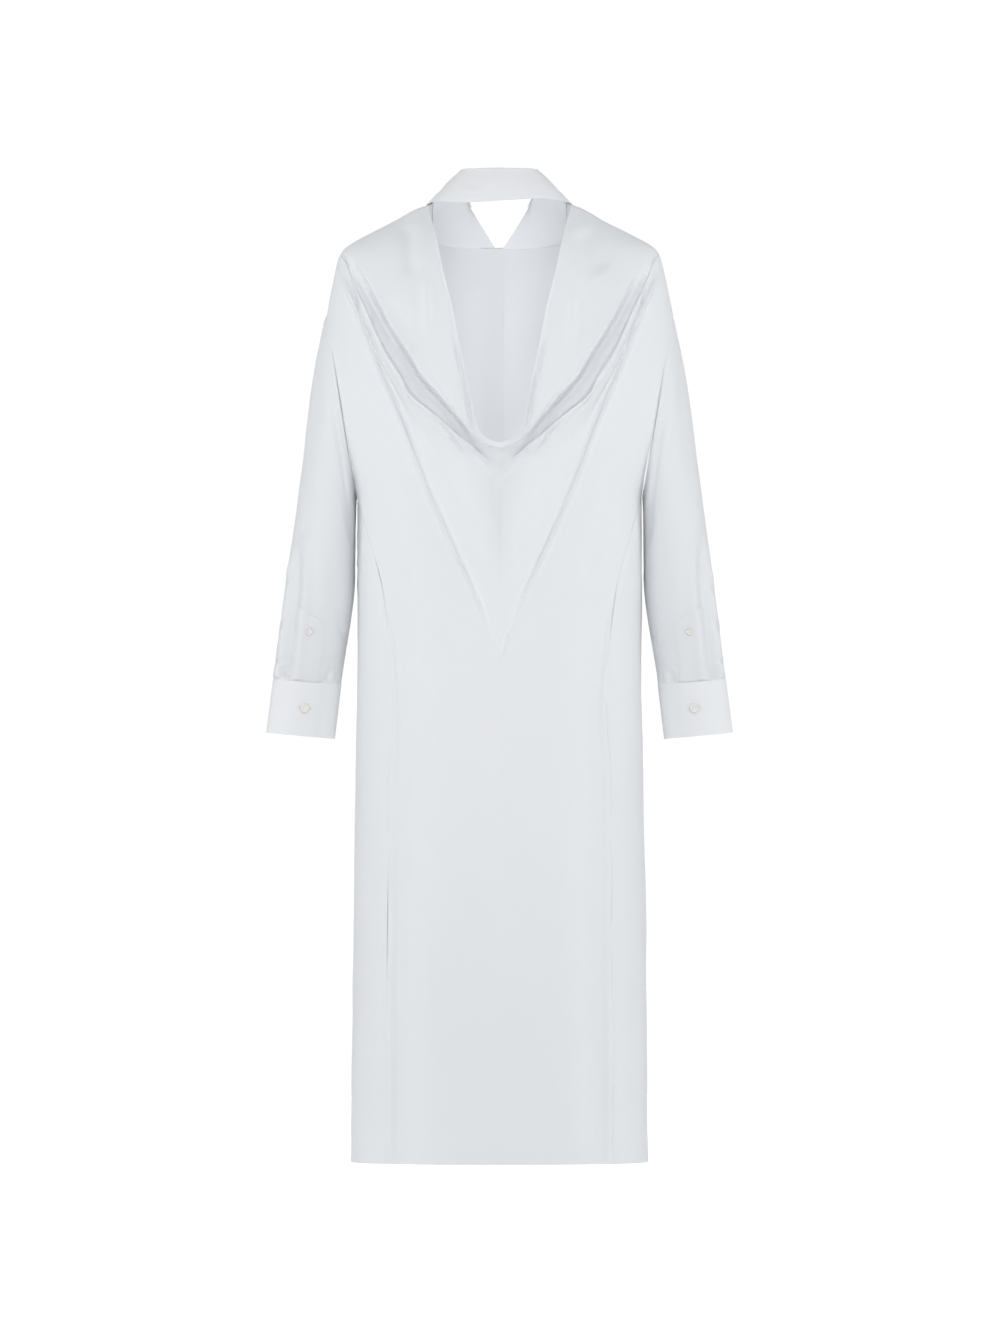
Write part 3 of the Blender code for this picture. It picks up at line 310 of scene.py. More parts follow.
# Widths, lengths and areas are those of the finished shells, spread flat, with no seam allowance.
Cut = namedtuple("Cut", "width length area held rests_on")
CUTS = {
    "back": Cut(0.743, 1.240, 0.427, "draped", ("front_left", "front_right", "collar_stand")),
    "front_left": Cut(0.358, 1.240, 0.386, "hung", ("back",)),
    "front_right": Cut(0.376, 1.240, 0.407, "hung", ("back",)),
    "front_placket": Cut(0.0280, 1.182, 0.0331, "hung", ("front_right",)),
    "sleeve": Cut(0.300, 0.470, 0.105, "hung", ("back", "front")),
    "sleeve_placket": Cut(0.0472, 0.0973, 0.0037, "hung", ("sleeve",)),
    "cuff": Cut(0.251, 0.0701, 0.0175, "hung", ("sleeve",)),
    "collar_stand": Cut(0.540, 0.086, 0.0207, "hung", ("back", "front_left", "front_right")),
    "collar_fall": Cut(0.521, 0.088, 0.0257, "folded", ("collar_stand",)),
}
SIDED = ("front", "sleeve")   # names that take the same side as the piece that rests on them

# ---------------------------------------------------------------- how finely, and how unevenly

SHARP_ANGLE = math.radians(60.0)
BACK_OUTWARD, FRONT_OUTWARD, SLEEVE_OUTWARD, COLLAR_OUTWARD = 1.0, -1.0, -1.0, -1.0
SHOULDER_ROWS, UPPER_SKIRT_ROWS, SIDE_ROWS, HEM_ROWS = 34, 26, 74, 10
VALLEY_SOFT_ROWS = 5
PLACKET_COLUMNS = 12
FOLD_DROP = 0.0022
ROLL_ROWS = 9
PLACKET_ANGLES = (57.0, 108.0)
PLACKET_START = 0.66
PLACKET_CALM = 0.05
HEM_CROWD, UNDERARM_CROWD = 1.35, 0.35
OUTLINE_STEPS = 400
CREASE_STEPS, CREASE_TAPER = 24, 0.22
BANK_AT, BANK_WIDTH = 2.1, 0.9          # where the cloth stands up beside a crease, in its widths
RIPPLE_WAVES, WAVE_LENGTHS, WAVE_SLANT, WAVE_BEND, WAVE_TURN = 7, (0.7, 1.8), 0.35, 0.6, 6.3
SWELLS = ((1.0, 0.020, 3.0), (0.35, 0.008, 2.0))        # share, size, stretch down the cloth
BODY_SWELL, SLEEVE_SWELL, COLLAR_SWELL = 0.0008, 0.0009, 0.0004
SLEEVE_SEAM_CALM, FOLD_CALM = 0.02, 0.01
BACK_SEED, RIGHT_FRONT_SEED, LEFT_FRONT_SEED, SLEEVE_SEED, COLLAR_SEED = 11, 23, 30, 37, 53
EDGES = {"top": (0, 1), "bottom": (0, -1), "first": (1, 1), "last": (1, -1)}     # axis and direction

STITCH_PITCH, STITCH_SHARE = 0.0027, 0.66
THREAD_RADIUS, THREAD_PROUD = 0.00017, 0.00004
THREAD_SIDES = 5
THREAD_RINGS = ((0.0, 0.35), (0.22, 1.0), (0.78, 1.0), (1.0, 0.35))     # share along, share of radius
HEM_STITCH, EDGE_STITCH, CUFF_STITCH, COLLAR_STITCH = 0.0165, 0.0045, 0.0050, 0.0050
NARROW_STITCH, SLEEVE_SEAM_STITCH = 0.0020, 0.0050
SATIN_PITCH, SATIN_WIDTH, SLIT_MARGIN, SLIT_GAP = 0.00042, 0.0011, 0.0014, 0.0003
BAR_THREADS = 5

FRONT_BUTTONS, FRONT_BUTTON_TOP, FRONT_BUTTON_PITCH = 9, -0.0780, 0.1080
PLACKET_BUTTON_AT, PLACKET_BUTTON_ANGLE = 0.28, 84.0
CUFF_BUTTON_AT, CUFF_BUTTON_ANGLE = 0.50, 92.0
FRONT_BUTTON_SIZE, PLACKET_BUTTON_SIZE, CUFF_BUTTON_SIZE = 0.0115, 0.0090, 0.0120
BUTTON_THICKNESS = 0.0024
BUTTON_PROFILE = (            # radius and height as shares of the radius and the thickness
    (0.86, 0.00), (0.95, 0.10), (1.00, 0.32), (1.00, 0.62), (0.97, 0.85), (0.91, 0.98),
    (0.84, 1.00), (0.77, 0.93), (0.70, 0.76), (0.62, 0.68), (0.56, 0.66),
)
BUTTON_STEPS = 40
HOLE_SPREAD, HOLE_RADIUS, HOLE_STEPS = 0.22, 0.105, 12
HOLE_FLOOR = 0.10
PLACKET_RISE, BUTTON_RISE = 0.0006, 0.0009
BUTTON_SHARP = math.radians(38.0)
BUTTON_THREADS = (-0.00028, 0.0, 0.00028)
SLOPE_STEP = 0.0100

FLOOR_REACH = 9.0
POPLIN_COLOUR, POPLIN_SHADE = (0.908, 0.926, 0.946, 1.0), (0.892, 0.910, 0.930, 1.0)
THREAD_COLOUR = (0.88, 0.89, 0.90, 1.0)
BUTTON_COLOUR, BUTTON_CLOUD = (0.72, 0.705, 0.685, 1.0), (0.82, 0.81, 0.79, 1.0)
WAVE_UNIT = math.pi / 10.0    # the period of Blender's wave texture at a scale of 1
WEAVE_PERIOD, WEAVE_HEIGHT = 0.00050, 0.000018
SLUB_WIDTH, SLUB_LENGTH, SLUB_HEIGHT = 0.00070, 0.0110, 0.000030
CRUMPLE_SIZE, CRUMPLE_HEIGHT = 0.0120, 0.00010
THREAD_TWIST, CLOUD_SIZE = 0.0003, 0.0022
FLOOR_COLOUR, FLOOR_GLOW = (0.86, 0.86, 0.86, 1.0), 0.75
WHITE = (1.0, 1.0, 1.0, 1.0)
AMBIENT, GROUND_SHARE, BACKDROP = 0.536, 1.26, 1.03
LAMPS = (                     # name, place, size, power, aim
    ("near_light", (0.0, -1.8, -0.44), (1.3, 0.8), 8.6, (0.0, 0.0, -0.44)),
    ("high_light", (0.0, -4.2, 2.60), (3.2, 2.0), 38.5, (0.0, 0.0, -0.40)),
    ("right_light", (5.0, -0.9, -0.20), (2.0, 3.0), 63.0, (0.0, 0.0, -0.55)),
    ("left_light", (-5.0, -0.9, -0.20), (2.0, 3.0), 63.0, (0.0, 0.0, -0.55)),
    ("opening_light", (0.0, -0.085, -0.15), (0.06, 0.16), 0.098, (0.0, 0.11, -0.15)),
    ("cowl_light", (0.0, -0.030, -0.345), (0.10, 0.06), 0.090, (0.0, 0.11, -0.27)),
)

# ---------------------------------------------------------------- curves

class Curve:
    """A smooth curve through some values that never overshoots them, as the CAD source draws it."""

    def __init__(self, stations, values):
        self.s = np.asarray(stations, float)
        self.v = np.asarray(values, float)
        if self.s[0] > self.s[-1]:
            self.s, self.v = self.s[::-1], self.v[::-1]
        self.step = np.diff(self.s)
        slope = np.diff(self.v, axis=0) / self.shaped(self.step)
        same_way = slope[:-1] * slope[1:] > 0.0
        total = np.where(same_way, slope[:-1] + slope[1:], 1.0)
        self.tangent = np.empty(self.v.shape)
        self.tangent[0], self.tangent[-1] = slope[0], slope[-1]
        self.tangent[1:-1] = np.where(same_way, 2.0 * slope[:-1] * slope[1:] / total, 0.0)

    def shaped(self, factors):
        """One factor for each place, ready to multiply the values there."""
        return np.reshape(factors, np.shape(factors) + (1,) * (self.v.ndim - 1))

    def __call__(self, at):
        at = np.clip(at, self.s[0], self.s[-1])
        i = np.clip(np.searchsorted(self.s, at, side="right") - 1, 0, len(self.s) - 2)
        t = self.shaped((at - self.s[i]) / self.step[i])
        step = self.shaped(self.step[i])
        return (
            self.v[i] * (1 + 2 * t) * (1 - t) ** 2 + self.v[i + 1] * t * t * (3 - 2 * t)
            + step * (self.tangent[i] * t * (1 - t) ** 2 - self.tangent[i + 1] * t * t * (1 - t))
        )


def table_curve(table, name, key="z"):
    return Curve([getattr(row, key) for row in table], [getattr(row, name) for row in table])


def running(steps):
    """The running total of each row of steps, from 0."""
    total = np.cumsum(steps, axis=-1)
    return np.concatenate((np.zeros(total.shape[:-1] + (1,)), total), axis=-1)


def along(points, shares):
    """The points at some shares of the length of a smooth curve through a few points."""
    points = np.asarray(points, float)
    length = running(np.linalg.norm(np.diff(points, axis=0), axis=1))
    return Curve(length / length[-1], points)(shares)


def ease(t):
    """0 below 0, 1 above 1 and a soft step between."""
    t = np.clip(t, 0.0, 1.0)
    return t * t * (3.0 - 2.0 * t)


def hump(t, power):
    """0 at both ends of 0 to 1, and 1 at its peak, which lies nearer 0 for a higher power."""
    peak = 1.0 / (power + 1.0)
    return t * (1.0 - t) ** power / (peak * (1.0 - peak) ** power)


def unit(v):
    return v / np.linalg.norm(v, axis=-1, keepdims=True)


# ---------------------------------------------------------------- the body's form

SHOULDER_WIDTH = table_curve(SHOULDERS, "half_width")
SIDE_WIDTH = table_curve(SIDES, "half_width")
BACK_DEPTH = table_curve(DEPTHS, "back")
FRONT_DEPTH = table_curve(DEPTHS, "front")
ROUNDING = table_curve(DEPTHS, "rounding")
BACK_SEAM_X = table_curve(BACK_SIDE_SEAM, "x")
ROW_CENTRE = table_curve(SKIRT_ROWS, "centre", key="edge")
ARMHOLE_MIDDLE = (ARMHOLE_TOP_Z + UNDERARM_Z) / 2.0
ARMHOLE_HALF = ARMHOLE_TOP_Z - ARMHOLE_MIDDLE


def depth(z, front):
    return FRONT_DEPTH(z) if front else BACK_DEPTH(z)


def armhole_x(z):
    share = (z - UNDERARM_Z) / (ARMHOLE_TOP_Z - UNDERARM_Z)
    return UNDERARM_X + (ARMHOLE_TOP_X - UNDERARM_X) * share


def rounded(share, z):
    """One share of the way across a section's rounded outline, from the share the other way."""
    return (1.0 - share ** ROUNDING(z)) ** (1.0 / ROUNDING(z))


def armhole_fill(z, front):
    """How much of the section's half-width lies inside the armhole seam."""
    share = np.clip(np.abs(z - ARMHOLE_MIDDLE) / ARMHOLE_HALF, 0.0, 1.0)
    reach = ARMHOLE_FRONT if front else ARMHOLE_BACK
    return rounded(reach * np.sqrt(1.0 - share ** 2) / depth(z, front), z)


def half_width(z, front):
    z = np.asarray(z, float)
    low = np.where(z <= UNDERARM_Z, SIDE_WIDTH(z), armhole_x(z) / armhole_fill(z, front))
    return np.where(z >= ARMHOLE_TOP_Z, SHOULDER_WIDTH(z), low)


def body_point(angle, z):
    """Points of the body: angle 0 at the centre front, 90 degrees at the side, 180 at the back."""
    s, c = np.sin(angle), np.cos(angle)
    front = c >= 0.0
    power = 2.0 / ROUNDING(z)
    return np.stack((
        np.where(front, half_width(z, True), half_width(z, False)) * np.copysign(np.abs(s) ** power, s),
        np.where(front, depth(z, True), depth(z, False)) * np.copysign(np.abs(c) ** power, c),
        np.broadcast_to(z, np.shape(angle)),
    ), axis=-1)


def width_share(x, z, front):
    return np.minimum(np.abs(x) / half_width(z, front), 1.0)


def angle_at(x, z):
    """The angle of the front's point that lies x from the centre line."""
    return np.copysign(np.arcsin(width_share(x, z, True) ** (ROUNDING(z) / 2.0)), x)


def front_y(x, z):
    return depth(z, True) * rounded(width_share(x, z, True), z)


def back_y(x, z):
    return -depth(z, False) * rounded(width_share(x, z, False), z)


def back_normals(x, z):
    """Normals of the body's form under the back: they stay smooth where the folds crowd."""
    across = back_y(x + FORM_STEP, z) - back_y(x - FORM_STEP, z)
    down = back_y(x, z + FORM_STEP) - back_y(x, z - FORM_STEP)
    return unit(np.stack((across, np.full(x.shape, -2.0 * FORM_STEP), down), axis=-1))


def back_outer_x(z):
    """The back's outer edge: shoulder seam, armhole, then the side seam on the back."""
    low = np.where(z >= UNDERARM_Z, armhole_x(z), BACK_SEAM_X(z))
    return np.where(z >= ARMHOLE_TOP_Z, half_width(z, False), low)


def front_outer_angle(z):
    """The front's outer edge: shoulder seam, armhole, then the side seam on the back."""
    behind = math.pi - np.arcsin(width_share(BACK_SEAM_X(z), z, False) ** (ROUNDING(z) / 2.0))
    low = np.where(z >= UNDERARM_Z, angle_at(armhole_x(z), z), behind)
    return np.where(z >= ARMHOLE_TOP_Z, math.pi / 2.0, low)


def levels_between(top, bottom, count):
    """Levels down the shoulder's outline at even distances along it, the last one left out."""
    z = np.linspace(top, bottom, OUTLINE_STEPS)
    length = running(np.hypot(np.diff(SHOULDER_WIDTH(z)), np.diff(z)))
    return np.interp(np.linspace(0.0, length[-1], count, endpoint=False), length, z)


def armhole_levels():
    """The levels of the sleeve's own points round the armhole, from its top to the underarm."""
    steps = np.arange(SLEEVE_SIDES // 2 + 1)
    return ARMHOLE_MIDDLE + ARMHOLE_HALF * np.cos(math.pi * steps / (SLEEVE_SIDES // 2))


def side_levels():
    """The levels below the underarm, closer together at it and at the hem."""
    above_hem = HEM_Z + HEM_CROWD * HEM_HEIGHT
    spread = np.linspace(0.0, 1.0, SIDE_ROWS + 1)[1:]
    spread = UNDERARM_CROWD * spread ** 2 + (1.0 - UNDERARM_CROWD) * spread
    upper = UNDERARM_Z + (above_hem - UNDERARM_Z) * spread
    return np.concatenate((upper, np.linspace(above_hem, HEM_Z, HEM_ROWS + 1)[1:]))


def crowded(count):
    """Shares from 0 to 1 that lie closer together at both ends."""
    even = np.linspace(0.0, 1.0, count)
    return (even + (1.0 - np.cos(math.pi * even)) / 2.0) / 2.0


# ---------------------------------------------------------------- shells of cloth

def grid_normals(grid, outward):
    """Normals at the points of a grid, turned to the side on which outward is positive."""
    cells = unit(np.cross(grid[1:, 1:] - grid[:-1, :-1], grid[:-1, 1:] - grid[1:, :-1]) + 1e-15)
    normals = np.zeros(grid.shape)
    for rows in (slice(0, -1), slice(1, None)):
        for columns in (slice(0, -1), slice(1, None)):
            normals[rows, columns] += cells
    return unit(normals) * outward


def arc_across(grid, start):
    """The distance along each row of a grid from one of its columns."""
    length = running(np.linalg.norm(np.diff(grid, axis=1), axis=2))
    return length - length[:, start:start + 1]


def stroke(place, crease):
    """How far one crease moves the cloth at some places, given across and down."""
    line = along(crease.points, np.linspace(0.0, 1.0, CREASE_STEPS + 1))
    first, way = line[:-1], np.diff(line, axis=0)
    nearest = np.full(place.shape[:-1], np.inf)
    share = np.zeros(place.shape[:-1])
    for i, (start, step) in enumerate(zip(first, way)):
        t = np.clip(((place - start) @ step) / (step @ step), 0.0, 1.0)
        distance = np.linalg.norm(place - start - t[..., None] * step, axis=-1)
        closer = distance < nearest
        nearest = np.where(closer, distance, nearest)
        share = np.where(closer, (i + t) / len(way), share)
    off = nearest / crease.width
    trough = np.exp(-off ** 2) - crease.bank * np.exp(-((off - BANK_AT) / BANK_WIDTH) ** 2)
    return -crease.depth * trough * ease(share / CREASE_TAPER) * ease((1.0 - share) / CREASE_TAPER)


def creased(place, creases, side):
    """How far the creases of one side of the body move the cloth at some places."""
    return sum(stroke(place, crease) for crease in creases if crease.side in (0, side))


def creased_across(place, creases, right):
    """The same for a piece on both sides, whose first coordinate grows to the right or, at -1, the left."""
    total = 0.0
    for crease in creases:
        across = place[..., 0] * right * crease.side if crease.side else np.abs(place[..., 0])
        total += stroke(np.stack((across, place[..., 1]), axis=-1), crease)
    return total


def ripple(place, seed, size, stretch):
    """A smooth, uneven swell from -1 to 1 made of a few slanting waves; it gives the same each run."""
    chance = np.random.default_rng(seed)
    total = np.zeros(place.shape[:-1])
    for _ in range(RIPPLE_WAVES):
        length = size * chance.uniform(*WAVE_LENGTHS)
        slant, phase = chance.normal(0.0, WAVE_SLANT), chance.uniform(0.0, 2.0 * math.pi)
        across = place[..., 0] + slant * place[..., 1] / stretch
        bend = WAVE_BEND * np.sin(place[..., 1] / (size * stretch) + chance.uniform(0.0, 2.0 * math.pi))
        down = place[..., 1] / (length * stretch)
        total += np.sin(across / length + bend + phase) * np.cos(down + chance.uniform(0.0, WAVE_TURN))
    return total / math.sqrt(RIPPLE_WAVES)


def swell(place, seed, size):
    """A faint, uneven rise and fall of the cloth, in two sizes."""
    return size * sum(share * ripple(place, seed + i, wave, stretch)
                      for i, (share, wave, stretch) in enumerate(SWELLS))


def seam_dip(distance):
    """How far the cloth sinks at a distance from a seam."""
    return -SEAM_DIP * np.exp(-(distance / SEAM_SOFT) ** 2)


def skin_faces(rows, columns, offset, flipped):
    """Quads of one skin of a grid, as rows of four point numbers."""
    point = np.arange(rows * columns).reshape(rows, columns) + offset
    quads = np.stack((point[:-1, :-1], point[1:, :-1], point[1:, 1:], point[:-1, 1:]), axis=-1)
    return (quads[..., ::-1] if flipped else quads).reshape(-1, 4)


def add_object(name, data):
    made = bpy.data.objects.new(name, data)
    bpy.context.scene.collection.objects.link(made)
    return made


def shell(name, outer, normals, place, thickness, outward):
    """A thin closed shell of cloth: its outer skin is the grid, its inner one lies below it along the
    normals, and its rim bulges a little."""
    rows, columns = outer.shape[:2]
    inner = outer - normals * np.broadcast_to(thickness, (rows, columns))[..., None]
    count = rows * columns
    loop = np.concatenate((
        np.arange(columns), np.arange(1, rows) * columns + columns - 1,
        (rows - 1) * columns + np.arange(columns - 2, -1, -1), np.arange(rows - 2, 0, -1) * columns,
    ))
    beside = np.clip(loop // columns, 1, rows - 2) * columns + np.clip(loop % columns, 1, columns - 2)
    flat_outer, flat_inner = outer.reshape(-1, 3), inner.reshape(-1, 3)
    past = unit(flat_outer[loop] - flat_outer[beside]) * RIM_PROUD
    rim = (flat_outer[loop] + flat_inner[loop]) / 2.0 + past
    points = np.concatenate((flat_outer, flat_inner, rim))
    flipped = outward < 0
    faces = [skin_faces(rows, columns, 0, flipped), skin_faces(rows, columns, count, not flipped)]
    ring = 2 * count + np.arange(len(loop))
    after, ring_after = np.roll(loop, -1), np.roll(ring, -1)
    for low, high, low_after, high_after, turn in (
        (loop, ring, after, ring_after, not flipped),
        (loop + count, ring, after + count, ring_after, flipped),
    ):
        quads = np.stack((low, high, high_after, low_after), axis=-1)
        faces.append(quads[:, ::-1] if turn else quads)
    faces = np.concatenate(faces)
    mesh = bpy.data.meshes.new(name)
    mesh.from_pydata(points.tolist(), [], faces.tolist())
    where = place.reshape(-1, 2)
    where = np.concatenate((where, where, where[loop]))
    layer = mesh.uv_layers.new(name="cloth")
    index = np.empty(len(mesh.loops), np.int64)
    mesh.loops.foreach_get("vertex_index", index)
    layer.data.foreach_set("uv", where[index].ravel())
    mesh.shade_smooth()
    mesh.set_sharp_from_angle(angle=SHARP_ANGLE)
    return add_object(name, mesh)


def mirrored(grid):
    """The same grid on the other side of the body."""
    return grid * np.array([-1.0, 1.0, 1.0])


def add_cloth(node, grid, place, thickness, outward, seams, side=1, normals=None):
    """A node's piece of cloth with its stitches, drawn for +X and put on its own side of the body.

    It wears the poplin, and its entry in CUTS is looked up but not used.
    """
    own_normals = grid_normals(grid, outward)
    skin = np.concatenate((grid, own_normals), axis=-1)
    normals = own_normals if normals is None else normals
    if side < 0:
        grid, normals = mirrored(grid), mirrored(normals)
    piece = shell("cloth_" + node, grid, normals, place, thickness, outward * side)
    piece.data.materials.append(DOUBLED if node.startswith(("cuff", "collar")) else POPLIN)
    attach(piece, "root")
    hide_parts(node)
    cut = CUTS.get(node) or CUTS[node.rsplit("_", 1)[0]]
    [name + node[node.rfind("_"):] if name in SIDED else name for name in cut.rests_on]
    sew(node, skin, seams, side)


# ---------------------------------------------------------------- stitches

def line_beside(skin, edge, distance):
    """A line of the skin's points and normals, at some distance beside one of its edges."""
    axis, way = EDGES[edge]
    skin = skin.swapaxes(0, axis)[::way]
    length = running(np.linalg.norm(np.diff(skin[..., :3], axis=0), axis=2).T)
    at = np.array([np.interp(distance, line, np.arange(len(line))) for line in length])
    row, column = np.minimum(at.astype(int), len(skin) - 2), np.arange(len(at))
    share = (at - row)[:, None]
    return skin[row, column] * (1 - share) + skin[row + 1, column] * share


def thread_mesh(name, start, end, up):
    """Short round threads that taper at both ends, half sunk in what they lie on."""
    way = unit(end - start)
    across = unit(np.cross(way, up))
    up = np.cross(across, way)
    turn = np.arange(THREAD_SIDES) * 2.0 * math.pi / THREAD_SIDES
    ring = np.cos(turn)[:, None] * across[:, None] + np.sin(turn)[:, None] * up[:, None]
    rings = [
        (start + share * (end - start) + THREAD_PROUD * up)[:, None] + radius * THREAD_RADIUS * ring
        for share, radius in THREAD_RINGS
    ]
    points = np.stack(rings, axis=1).reshape(-1, 3)
    sides, per_thread = np.arange(THREAD_SIDES), THREAD_SIDES * len(THREAD_RINGS)
    after = np.roll(sides, -1)
    wall = np.stack((sides, after, after + THREAD_SIDES, sides + THREAD_SIDES), axis=-1)
    walls = np.concatenate([wall + THREAD_SIDES * i for i in range(len(THREAD_RINGS) - 1)])
    first = np.arange(len(start)) * per_thread
    faces = (walls[None] + first[:, None, None]).reshape(-1, 4).tolist()
    faces += (sides[::-1][None] + first[:, None]).tolist()
    faces += (sides[None] + first[:, None] + per_thread - THREAD_SIDES).tolist()
    mesh = bpy.data.meshes.new(name)
    mesh.from_pydata(points.tolist(), [], faces)
    mesh.shade_smooth()
    mesh.materials.append(THREAD)
    piece = add_object(name, mesh)
    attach(piece, "root")
    return piece


def stitches_on(line):
    """The two ends and the normal of each stitch along one line of points and normals."""
    length = running(np.linalg.norm(np.diff(line[:, :3], axis=0), axis=1))
    count = max(int(length[-1] / STITCH_PITCH), 1)
    middle = (np.arange(count) + 0.5) * length[-1] / count
    reach = STITCH_SHARE * length[-1] / count / 2.0
    start, end = [
        np.stack([np.interp(middle + side * reach, length, line[:, k]) for k in range(6)], axis=-1)
        for side in (-1, 1)
    ]
    return start[:, :3], end[:, :3], unit(start[:, 3:] + end[:, 3:])


def sew(label, skin, seams, side):
    """One object with the stitches beside some edges of a piece of cloth, each at its distance."""
    lines = [stitches_on(line_beside(skin, edge, distance)) for edge, distance in seams.items()]
    start, end, up = [np.concatenate(part) for part in zip(*lines)]
    if side < 0:
        start, end, up = mirrored(start), mirrored(end), mirrored(up)
    return thread_mesh("stitches_" + label, start, end, up)


def sew_buttonhole(label, centre, along_slit, normal, size):
    """A worked buttonhole: two rows of close threads beside its slit and a bar across each end."""
    half = size / 2.0 + SLIT_MARGIN
    across = unit(np.cross(along_slit, normal))
    starts, ends = [], []
    for at in np.arange(-half, half + SATIN_PITCH / 2.0, SATIN_PITCH):
        for side in (-1.0, 1.0):
            foot = centre + at * along_slit + side * SLIT_GAP * across
            starts.append(foot)
            ends.append(foot + side * SATIN_WIDTH * across)
    reach = SLIT_GAP + SATIN_WIDTH
    for end in (-1.0, 1.0):
        for i in range(BAR_THREADS):
            foot = centre + end * (half + i * SATIN_PITCH) * along_slit
            starts.append(foot - reach * across)
            ends.append(foot + reach * across)
    up = np.broadcast_to(normal, (len(starts), 3))
    return thread_mesh("buttonhole_" + label, np.array(starts), np.array(ends), up)


# ---------------------------------------------------------------- back

def fold_row(fold, shares):
    points = along(fold.points, shares)
    lifts = Curve(np.linspace(0.0, 1.0, len(fold.lifts)), fold.lifts)(shares)
    return np.column_stack((points, lifts))


def fan_rows(shares):
    """The rows of the cowl, as x, z and lift: a smooth surface through its fold lines."""
    lines = np.array([fold_row(fold, shares) for fold in BACK_FOLDS])
    gaps = np.linalg.norm(np.diff(lines[:, :, :2], axis=0), axis=2).mean(axis=1)
    stations = running(gaps)
    at = [
        np.linspace(low, high, fold.rows, endpoint=False)
        for fold, low, high in zip(BACK_FOLDS, stations, stations[1:])
    ]
    rows = Curve(stations, lines)(np.concatenate((*at, stations[-1:])))
    rows[:, :, 0] += np.outer(half_width(rows[:, -1, 1], False) - rows[:, -1, 0], shares ** SEAM_PULL)
    return rows


def skirt_rows(valley, shares):
    """The rows below the long valley: nearly straight, from the centre up to the seams."""
    shoulder = levels_between(SKIRT_ROWS[0].edge, ARMHOLE_TOP_Z, UPPER_SKIRT_ROWS)[1:]
    levels = np.concatenate((shoulder, armhole_levels(), side_levels()))
    bow = valley[:, :2] - np.outer(1 - shares, valley[0, :2]) - np.outer(shares, valley[-1, :2])
    top = SKIRT_ROWS[0].centre
    rows = []
    for level in levels:
        centre = float(ROW_CENTRE(level))
        down = (top - centre) / (top - HEM_Z)
        line = np.outer(1 - shares, (0.0, centre)) + np.outer(shares, (back_outer_x(level), level))
        line += bow * (1 - down) ** BOW_FADE
        swell = SKIRT_SWELL * np.sin(math.pi * shares) * hump(down, SWELL_FADE)
        rows.append(np.column_stack((line, swell + valley[:, 2] * (1 - down) ** LIFT_FADE)))
    return np.array(rows)


def soften(lifts, middle, reach):
    """Round off the lifts of the rows about one row."""
    low, high = middle - reach, middle + reach
    for _ in range(reach):
        lifts[low:high] = (lifts[low - 1:high - 1] + 2 * lifts[low:high] + lifts[low + 1:high + 1]) / 4


def make_back():
    shares = crowded(BACK_HALF_COLUMNS)
    fan = fan_rows(shares)
    rows = np.concatenate((fan, skirt_rows(fan[-1], shares)))
    soften(rows[..., 2], len(fan) - 1, VALLEY_SOFT_ROWS)
    x, z, lift = rows[..., 0], rows[..., 1], rows[..., 2]
    half = np.stack((x, back_y(x, z) - lift, z), axis=-1)
    grid = np.concatenate((mirrored(half[:, :0:-1]), half), axis=1)
    place = grid[..., (0, 2)]
    normals = back_normals(place[..., 0], place[..., 1])
    arc = np.abs(arc_across(grid, BACK_HALF_COLUMNS - 1))
    from_seam = np.where(grid[..., 0] > 0, arc[:, -1:], arc[:, :1]) - arc
    move = swell(place, BACK_SEED, BODY_SWELL) + seam_dip(from_seam)
    move += ease(from_seam / SEAM_CALM) * creased_across(place, BACK_CREASES, 1)
    grid += normals * move[..., None]
    thickness = np.where(place[..., 1] < HEM_Z + HEM_HEIGHT, DOUBLE, PLY)
    add_cloth("back", grid, place, thickness, BACK_OUTWARD, dict(top=EDGE_STITCH, bottom=HEM_STITCH),
              normals=normals)


# ---------------------------------------------------------------- fronts

def front_levels():
    shoulder = levels_between(0.0, ARMHOLE_TOP_Z, SHOULDER_ROWS)
    return np.concatenate((shoulder, armhole_levels(), side_levels()))


def centre_level(z_out):
    """The level on the centre line of the row that ends at a level on the outer edge."""
    fade = np.where(z_out > 2.0 * UNDERARM_Z, np.exp(z_out / NECK_FADE), 0.0)
    return z_out + NECKLINE[0].z * fade, fade


def front_grid(lap_columns, lap):
    """One front, made for +X: its columns in the overlap, then the ones round to the seam."""
    shares = crowded(FRONT_COLUMNS)
    neck = along(NECKLINE, shares)
    neck = np.column_stack((angle_at(neck[:, 0], neck[:, 1]), neck[:, 1]))
    bow = neck - np.outer(1 - shares, neck[0]) - np.outer(shares, neck[-1])
    rows = []
    for z_out in front_levels():
        z_in, fade = [float(v) for v in centre_level(z_out)]
        start = np.array([float(angle_at(LAP_START, z_in)), z_in])
        end = np.array([float(front_outer_angle(z_out)), z_out])
        line = np.outer(1 - shares, start) + np.outer(shares, end) + fade * bow
        lapped = np.column_stack((angle_at(lap_columns, z_in), np.full(len(lap_columns), z_in)))
        rows.append(np.concatenate((lapped, line)))
    rows = np.array(rows)
    grid = body_point(rows[..., 0], rows[..., 1])
    grid[..., 1] += lap * ease((LAP_START - grid[..., 0]) / (LAP_START - LAP_END))
    return grid


